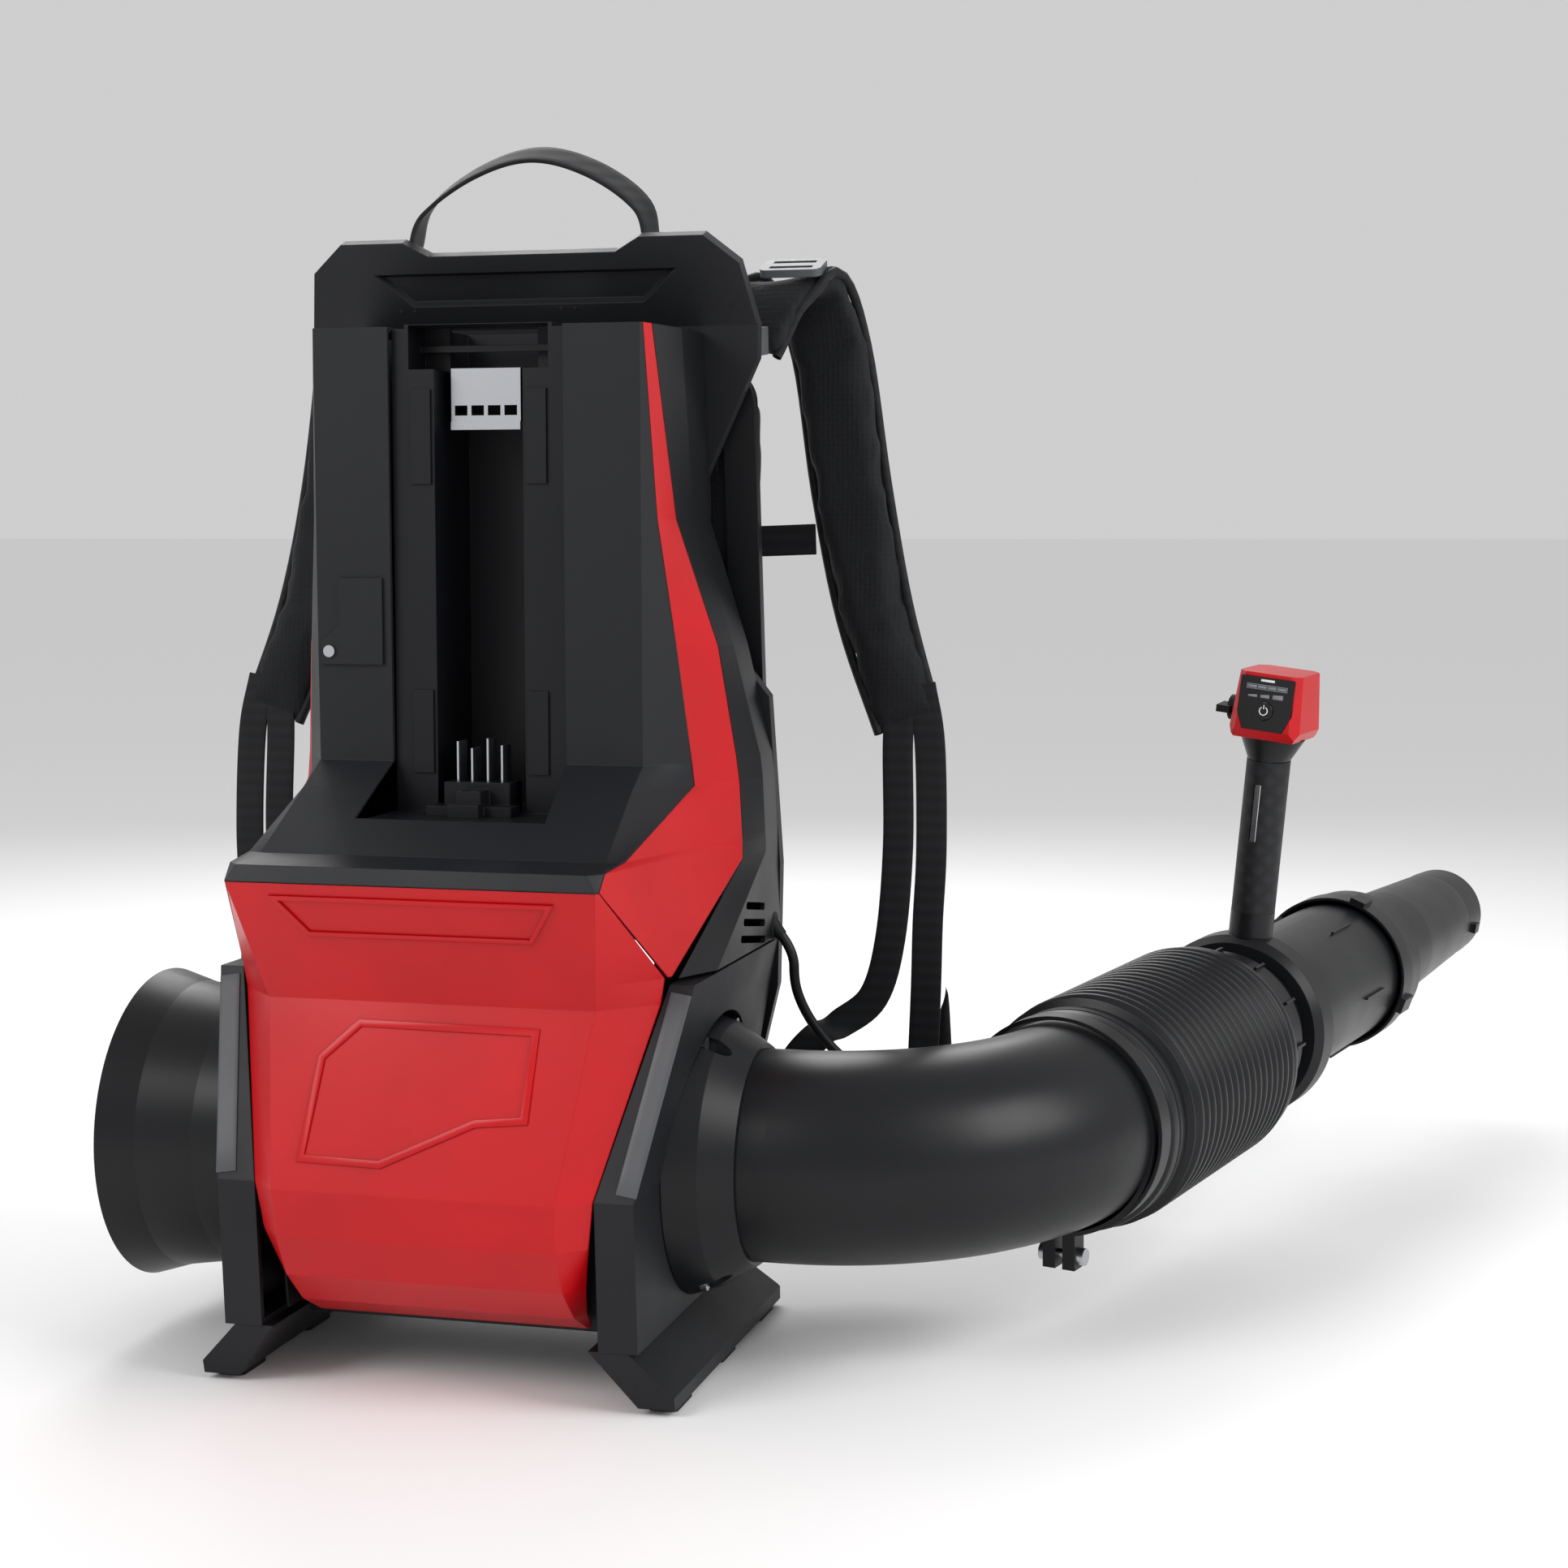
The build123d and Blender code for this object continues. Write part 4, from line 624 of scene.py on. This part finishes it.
@dataclass
class ThrottleCable:
    """Sheathed cable from the casing's gland down to the elbow's inlet."""

    diameter: float = 0.0065
    length: float = 0.1713

    def route(self) -> list[Vector]:
        """Listed points of the cable's line."""
        return [
            at(154.1, 213.0, 247.0), at(162.2, 213.0, 236.8), at(161.6, 215.5, 217.0),
            at(166.0, 219.0, 201.5), at(173.8, 223.5, 186.5), at(184.5, 230.5, 171.0),
            at(199.0, 240.0, 156.5), at(215.0, 250.5, 144.0),
            at(236.1, 257.3, 134.1), at(251.5, 252.9, 133.9),
        ]

    def build(self) -> None:
        """Lay the cable as one smooth spline and let it bend between the casing and the elbow."""
        curve = bpy.data.curves.new("throttle_sheath", "CURVE")
        curve.dimensions = "3D"
        spline = curve.splines.new("NURBS")
        points = self.route()
        spline.points.add(len(points) - 1)
        for target, point in zip(spline.points, points):
            target.co = (*point, 1.0)
        spline.order_u = 3
        spline.use_endpoint_u = True
        spline.resolution_u = 12
        cable = bpy.data.objects.new("throttle_sheath", curve)
        bpy.context.collection.objects.link(cable)
        bpy.context.view_layer.update()
        line = [v.co.copy() for v in bpy.data.meshes.new_from_object(cable).vertices]
        curve.bevel_depth = self.diameter / 2
        curve.bevel_resolution = 4
        curve.use_fill_caps = True
        pick(cable)
        bpy.ops.object.convert(target="MESH")
        cable = bpy.context.object
        bpy.ops.object.shade_smooth_by_angle(angle=math.radians(50))
        dress(cable, SHEATH)
        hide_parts("throttle_cable")
        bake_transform(cable)
        LOG.info("throttle_sheath laid")


@dataclass
class Hose:
    """Bellows between the elbow and the control tube; radii and distances in mm."""

    duct: float = 64.0
    valley: float = 71.0
    crest: float = 76.0
    ribs: int = 17
    length: float = 245.0
    tail: float = 60.0
    rear_grip: float = 16.0
    front_grip: float = 26.0
    steps: int = 96

    def profile(self) -> list[tuple[float, float]]:
        """Closed outline of the wall as (radius, distance) pairs."""
        start, end = 40.0, self.length - 32.0
        pitch = (end - start) / self.ribs
        cuff = self.duct + 3.0
        outer = [(cuff, -16.0), (cuff, 6.0), (cuff + 0.6, 7.4), (cuff + 3.4, 8.6), (cuff + 4, 10.0)]
        outer += [(cuff + 4, 17.0), (cuff + 3, 17.8), (cuff + 3, 19.2), (cuff + 4, 20.0), (cuff + 4, 29.0)]
        outer += [(cuff + 3.4, 31.0), (self.crest - 1, 33.0), (self.crest - 1.5, 36.0)]
        for rib in range(self.ribs):
            base = start + rib * pitch
            outer += [(self.valley, base), (self.valley + 0.6, base + 0.10 * pitch)]
            outer += [(self.crest - 0.6, base + 0.30 * pitch), (self.crest, base + 0.40 * pitch)]
            outer += [(self.crest, base + 0.60 * pitch), (self.crest - 0.6, base + 0.70 * pitch)]
            outer += [(self.valley + 0.6, base + 0.90 * pitch)]
        outer += [(self.valley, end), (self.crest - 3, end + 2), (self.crest - 2, end + 3.4)]
        outer += [(self.crest - 2, end + 9), (self.crest - 2.6, end + 10.4), (self.tail + 5, end + 14)]
        outer += [(self.tail + 5, self.length - 0.8), (self.tail + 4.2, self.length)]
        inner = [(self.duct + 0.2, -16.0), (self.duct + 0.2, 0.0), (self.duct - 1, 9.0)]
        inner += [(self.valley - 3, start), (self.valley - 3, end), (self.tail + 0.2, end + 10)]
        inner += [(self.tail + 0.2, self.length)]
        return outer + inner[::-1]

    def build(self) -> None:
        """Turn the wall about the tube's axis."""
        way = joint_axis("nozzle_twist")
        far = max(v.co.dot(way) for v in NODES["bellows"].data.vertices)
        zero = middle("control_tube")
        zero += way * (far - zero.dot(way) - self.length / MM)
        up = (Vector((0, 0, 1)) - way * way.z).normalized()
        over = way.cross(up)
        outline = self.profile()
        bpy.ops.object.select_all(action="DESELECT")
        bpy.ops.mesh.primitive_grid_add(x_subdivisions=len(outline), y_subdivisions=self.steps, size=1)
        hose = bpy.context.object
        columns = len(outline) + 1
        for index, vertex in enumerate(hose.data.vertices):
            row, column = divmod(index, columns)
            radius, distance = outline[column % len(outline)]
            turn = math.tau * (row % self.steps) / self.steps
            side = up * math.cos(turn) + over * math.sin(turn)
            vertex.co = zero + way * (distance / MM) + side * (radius / MM)
        weld(hose)
        bpy.ops.object.shade_smooth_by_angle(angle=math.radians(48))
        hose.name = "bellows_hose"
        hose.data.name = "bellows_hose"
        dress(hose, FOLDS)
        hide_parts("bellows")
        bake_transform(hose)
        LOG.info("bellows_hose: %d faces", len(hose.data.polygons))


# The leg frames' outer edge: its half width at the kink, and how far it leans out above it, in mm.
KINK_Z = 126.0
LEG_LOW_X = 128.5
LEG_LEAN = 20.0
LEG_RISE = 117.0


@dataclass
class Casing:
    """Dressing of the casing: raised frames, pin holes, inner webs of painted shade and the legs' strips of
    painted highlight.
    """

    ridge: float = 0.0011

    def build(self) -> None:
        """Add every fitting of the casing."""
        self.panel_frame()
        self.lip_recess()
        self.flange_marks()
        self.leg_strips()
        self.shade_webs()

    def shade_webs(self) -> None:
        """Dark webs behind the panels' joints, painted shade which closes the view into the casing."""
        corners = (
            (96, 14, 44), (98, 10, 120), (118, 30, 236), (127, 38, 262), (124, 60, 300), (124, 150, 300),
            (98, 150, 120), (96, 150, 44),
        )
        for side in (1, -1):
            points = [at(side * x, y, z) for x, y, z in corners]
            self.web(f"inner_shade_web_{side_name(side)}", points if side > 0 else points[::-1], 0.002, -1.0)
        under = [(-96, 34), (96, 34), (98, 60), (98, 104), (-98, 104), (-98, 60)]
        self.web("belly_shade_web", [at(x, 46, z) for x, z in under], 0.0025, 1.0)

    def web(self, name: str, points: Sequence[Vector], thick: float, offset: float) -> None:
        """Add one flat web.

        Args:
            name: The piece's name.
            points: Its corners.
            thick: Its thickness.
            offset: Side that it thickens to, 1 along the outline's normal and -1 against it.
        """
        web = polygon(points)
        modifier(web, "SOLIDIFY", thickness=thick, offset=offset)
        modifier(web, "BEVEL", width=0.0004, segments=2)
        settle(web, name, "blower_body", SHADE_BLACK)

    def panel_frame(self) -> None:
        """Embossed six-cornered frame on the red panel."""
        corners = [(-72, 142), (-65, 201), (-42, 222), (68, 221), (66, 169), (35, 166), (-20, 141)]
        points = [cast("front_panel", x, z, 0.15) for x, z in reversed(corners)]
        frame_piece = ring(points, 0.0045, self.ridge)
        settle(frame_piece, "panel_emboss", "blower_body", RED)

    def lip_recess(self) -> None:
        """Raised frame round the field under the shelf's lip."""
        corners = [(-86, 296), (86, 296), (70, 272), (-66, 272)]
        points = [cast("front_panel", x, z, 0.25) for x, z in corners]
        frame_piece = ring(points[::-1], 0.0030, 0.0014)
        settle(frame_piece, "lip_recess_frame", "blower_body", RED)

    def flange_marks(self) -> None:
        """Three pairs of small pin holes across the back frame's flange."""
        for pair, x in enumerate((-84, 22, 122)):
            for step in (0, 9):
                place = cast("back_frame", x + step, 640, 0.05)
                bpy.ops.object.select_all(action="DESELECT")
                bpy.ops.mesh.primitive_cylinder_add(
                    vertices=12, radius=0.0011, depth=0.0006, location=place, rotation=(math.radians(90), 0, 0)
                )
                settle(bpy.context.object, f"pin_hole_{pair}_{step}", "blower_body", GROOVE)

    def leg_strips(self) -> None:
        """Painted highlight: a light strip down the front edge of each leg frame."""
        for side in (1, -1):
            line = []
            for z in (238, 205, 170, 130):
                lean = LEG_LOW_X + LEG_LEAN * max(z - KINK_Z, 0) / LEG_RISE
                line.append(cast(f"leg_frame_{side_name(side)}", side * (lean - 7), z, 0.35))
            strip = ribbon(line, [0.0125] * len(line), Vector((1, 0, 0)), 0.0008, 3)
            settle(strip, f"leg_strip_{side_name(side)}", "blower_body", HIGHLIGHT_STRIP)


@dataclass
class ControlPanel:
    """Lamps and generic symbols on the handle's display."""

    line_radius: float = 0.00035

    def __post_init__(self) -> None:
        """Find the panel's face from the button's travel and the trigger's axis."""
        self.out = -joint_axis("button_press")
        self.right = -joint_axis("trigger_pull")
        self.up = self.out.cross(self.right).normalized()
        self.zero = middle("power_button")
        self.top = self.rise("power_button")
        self.face = self.rise("display_panel")

    def rise(self, node: str) -> float:
        """How far a node reaches out of the panel, in metres from the button's middle."""
        return max((v.co - self.zero).dot(self.out) for v in NODES[node].data.vertices)

    def spot(self, x: float, y: float, height: float) -> Vector:
        """Point on the panel, in millimetres from the button's middle."""
        return self.zero + (self.right * x + self.up * y) / MM + self.out * height

    def outline(
        self, left: float, low: float, wide: float, high: float, slope: float = 0.0
    ) -> list[Vector]:
        """Corners of a box on the panel, its top edge sloped by a given rise."""
        corners = [(left, low), (left + wide, low), (left + wide, low + high + slope), (left, low + high)]
        return [self.spot(x, y, self.face + 0.00005) for x, y in corners]

    def build(self) -> None:
        """Add the symbols, each its own thin piece."""
        lamp = plate(self.outline(-5, 20.4, 10, 1.6), 0.0003)
        settle(lamp, "status_lamp", "handle", PRINT_WHITE)
        battery = ring(self.outline(-15, 14.6, 30, 3.6), 0.0005, 0.0003)
        settle(battery, "battery_outline", "handle", PRINT_GREY)
        for cell in range(4):
            piece = plate(self.outline(-14.0 + 7.15 * cell, 15.5, 6.5, 1.8), 0.0002)
            settle(piece, f"battery_cell_{cell + 1}", "handle", PRINT_GREY)
        for step, (left, wide, high) in enumerate(((-13, 6.5, 1.3), (-4, 6.5, 2.0), (5, 7.5, 2.8))):
            piece = plate(self.outline(left, 9.0, wide, high, 0.5), 0.0003)
            settle(piece, f"speed_bar_{step + 1}", "handle", PRINT_GREY)
        circle = [
            self.spot(2.9 * math.cos(a), 2.9 * math.sin(a), self.top + 0.00002)
            for a in (math.radians(d) for d in range(120, 421, 15))
        ]
        arc = piping(circle, self.line_radius)
        settle(arc, "power_symbol", "power_button", PRINT_WHITE)
        stroke = piping([self.spot(0, 1.4, self.top), self.spot(0, 4.2, self.top)], self.line_radius)
        settle(stroke, "power_symbol_stroke", "power_button", PRINT_WHITE)


CLOTH_FRAMES = 20


@dataclass
class Pad:
    """A foam pad grown from its CAD solid by a small cloth simulation."""

    node: str
    finish: Finish
    fill: float = 0.5
    voxel: float = 0.005
    shrink: float = 0.0015
    pressure: float = 4.0
    cap: float = 0.005

    def build(self) -> bpy.types.Object:
        """Remesh a copy of the solid, blow it up softly, cap its travel and smooth it.

        Returns:
            The finished pad.
        """
        source = NODES[self.node]
        piece = bpy.data.objects.new(self.node + "_pad", source.data.copy())
        bpy.context.collection.objects.link(piece)
        weld(piece)
        bpy.ops.object.mode_set(mode="EDIT")
        bpy.ops.mesh.select_all(action="SELECT")
        bpy.ops.transform.shrink_fatten(value=self.shrink)
        bpy.ops.object.mode_set(mode="OBJECT")
        modifier(piece, "REMESH", mode="VOXEL", voxel_size=self.voxel)
        bpy.ops.object.modifier_apply(modifier="remesh")
        modifier(piece, "SMOOTH", factor=0.6, iterations=6)
        bpy.ops.object.modifier_apply(modifier="smooth")
        start = [v.co.copy() for v in piece.data.vertices]
        self.inflate(piece)
        for vertex, home in zip(piece.data.vertices, start):
            move = vertex.co - home
            if move.length > self.cap:
                vertex.co = home + move * (self.cap / move.length)
        modifier(piece, "SUBSURF", levels=1, render_levels=1)
        settle(piece, self.node + "_pad", "blower_body", self.finish, 80.0)
        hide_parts(self.node)
        return piece

    def inflate(self, piece: bpy.types.Object) -> None:
        """Run the cloth under pressure and apply it, left in its last frame's shape."""
        cloth = piece.modifiers.new("cloth", "CLOTH")
        cloth.settings.use_pressure = True
        cloth.settings.uniform_pressure_force = self.pressure
        cloth.settings.effector_weights.gravity = 0.0
        cloth.settings.quality = 4
        cloth.settings.tension_stiffness = 25
        cloth.settings.bending_stiffness = 2.0
        scene = bpy.context.scene
        for step in range(1, CLOTH_FRAMES + 1):
            scene.frame_set(step)
        pick(piece)
        bpy.ops.object.modifier_apply(modifier="cloth")
        scene.frame_set(1)


@dataclass
class Harness:
    """Straps, pads, webbing and the back mesh."""

    strap_end: tuple[float, float, float] = (222.0, 276.0, 378.0)
    webbing_width: float = 0.020
    webbing_thick: float = 0.0018
    net_rows: int = 54
    net_columns: int = 46
    net_inset: float = 0.001

    def build(self) -> None:
        """Make every soft piece of the harness."""
        Pad("shoulder_strap_right", SPACER).build()
        Pad("shoulder_strap_left", SPACER).build()
        Pad("back_cushions", SPACER, voxel=0.006, fill=0.6).build()
        Pad("hip_belt", CLOTH, voxel=0.005, shrink=0.001).build()
        for side in (1, -1):
            self.bindings(side)
            self.webbing(side)
        self.sternum()
        self.loop()
        self.back_mesh()

    def strap_line(self, side: int) -> list[tuple[Vector, float]]:
        """Middle line and width of one shoulder strap."""
        run = [
            ((124, 232, 618), 50), ((136, 246, 648), 52), ((154, 272, 660), 54), ((167, 292, 618), 50),
            ((180, 294, 530), 50), ((197, 288, 450), 48), ((222, 276, 378), 42),
        ]
        return [(at(side * x, y, z), width / 1000) for (x, y, z), width in run]

    def bindings(self, side: int) -> None:
        """Edge binding tape along both edges of a shoulder strap."""
        run = self.strap_line(side)
        line = smooth_run([p for p, _ in run], 6)
        widths = [v.x for v in smooth_run([Vector((w, 0, 0)) for _, w in run], 6)]
        for edge in (-1, 1):
            rim = "outer" if edge * side > 0 else "inner"
            points = []
            for i, (point, width) in enumerate(zip(line, widths)):
                along = (line[min(i + 1, len(line) - 1)] - line[max(i - 1, 0)]).normalized()
                face = along.cross(Vector((1, 0, 0))).normalized()
                points.append(point + face.cross(along) * edge * (width / 2 - 0.001))
            tape = piping(points, 0.0032)
            settle(tape, f"strap_binding_{side_name(side)}_{rim}", "blower_body", WEBBING, 60)

    def webbing(self, side: int) -> None:
        """Two runs of webbing from the end of one shoulder strap."""
        x, y, z = self.strap_end
        tail = [
            (x + 8, y, z + 26), (x + 15, y - 3, z - 12), (x + 17, y - 6, 300), (x + 15, y - 7, 250),
            (x + 14, y - 8, 200), (x + 11, y - 10, 118),
        ]
        back = [
            (x - 4, y, z + 26), (x - 6, y - 3, z - 12), (x - 5, y - 6, 300), (x - 9, y - 10, 240),
            (x - 19, y - 14, 202), (x - 40, y - 18, 184), (168, 252, 176), (154, 250, 160), (151, 249, 146),
        ]
        for label, run in (("tail", tail), ("return", back)):
            points = [at(side * a, b, c) for a, b, c in run]
            strap = ribbon(points, [self.webbing_width] * len(points), None, self.webbing_thick)
            label = f"webbing_{label}_{side_name(side)}"
            settle(strap, label, "blower_body", WEBBING, 60)
        if side > 0:
            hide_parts("lower_webbing")

    def sternum(self) -> None:
        """Chest strap between the shoulder straps, with a slight sag."""
        for side in (1, -1):
            run = [(19, 292, 497), (60, 292, 495.5), (110, 292, 495.5), (157, 291, 497)]
            points = [at(side * a, b, c) for a, b, c in run]
            widths = [self.webbing_width] * len(points)
            strap = ribbon(points, widths, Vector((0, 0, 1)), self.webbing_thick)
            settle(strap, f"sternum_webbing_{side_name(side)}", "blower_body", WEBBING, 60)
            if side > 0:
                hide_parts("sternum_strap")

    def loop(self) -> None:
        """Carrying loop over the casing."""
        half = [(79, 186.6, 676), (71, 190, 702), (46, 192, 722), (14, 193, 734.5)]
        run = [(-x, y, z) for x, y, z in half] + half[::-1]
        strap = ribbon([at(*p) for p in run], [0.025] * len(run), Vector((0, 0.9, 0.43)), 0.0026)
        settle(strap, "carry_loop", "blower_body", WEBBING, 60)
        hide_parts("grab_loop")

    def back_mesh(self) -> None:
        """Suspended mesh, a real open net on the pad frame's plane."""
        low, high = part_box("back_mesh")
        bpy.ops.object.select_all(action="DESELECT")
        bpy.ops.mesh.primitive_grid_add(
            x_subdivisions=self.net_columns, y_subdivisions=self.net_rows, size=1
        )
        net = bpy.context.object
        inset = self.net_inset
        for vertex in net.data.vertices:
            u, v = vertex.co.x + 0.5, vertex.co.y + 0.5
            vertex.co = Vector((
                low[0] + inset + u * (high[0] - low[0] - 2 * inset),
                high[1] - inset + v * (low[1] - high[1] + 2 * inset),
                low[2] + inset + v * (high[2] - low[2] - 2 * inset),
            ))
        modifier(net, "WIREFRAME", thickness=0.0013, use_boundary=True)
        settle(net, "suspension_net", "blower_body", WEBBING, 30)
        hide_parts("back_mesh")


def main() -> None:
    """Build the whole scene in order."""
    logging.basicConfig(level=logging.INFO, format="%(name)s %(message)s")
    Studio().build()
    ThrottleCable().build()
    Hose().build()
    for finish, nodes in DRESSING.items():
        for node in nodes:
            dress(NODES[node], finish)
    Casing().build()
    ControlPanel().build()
    Harness().build()


if __name__ == "__main__":
    main()
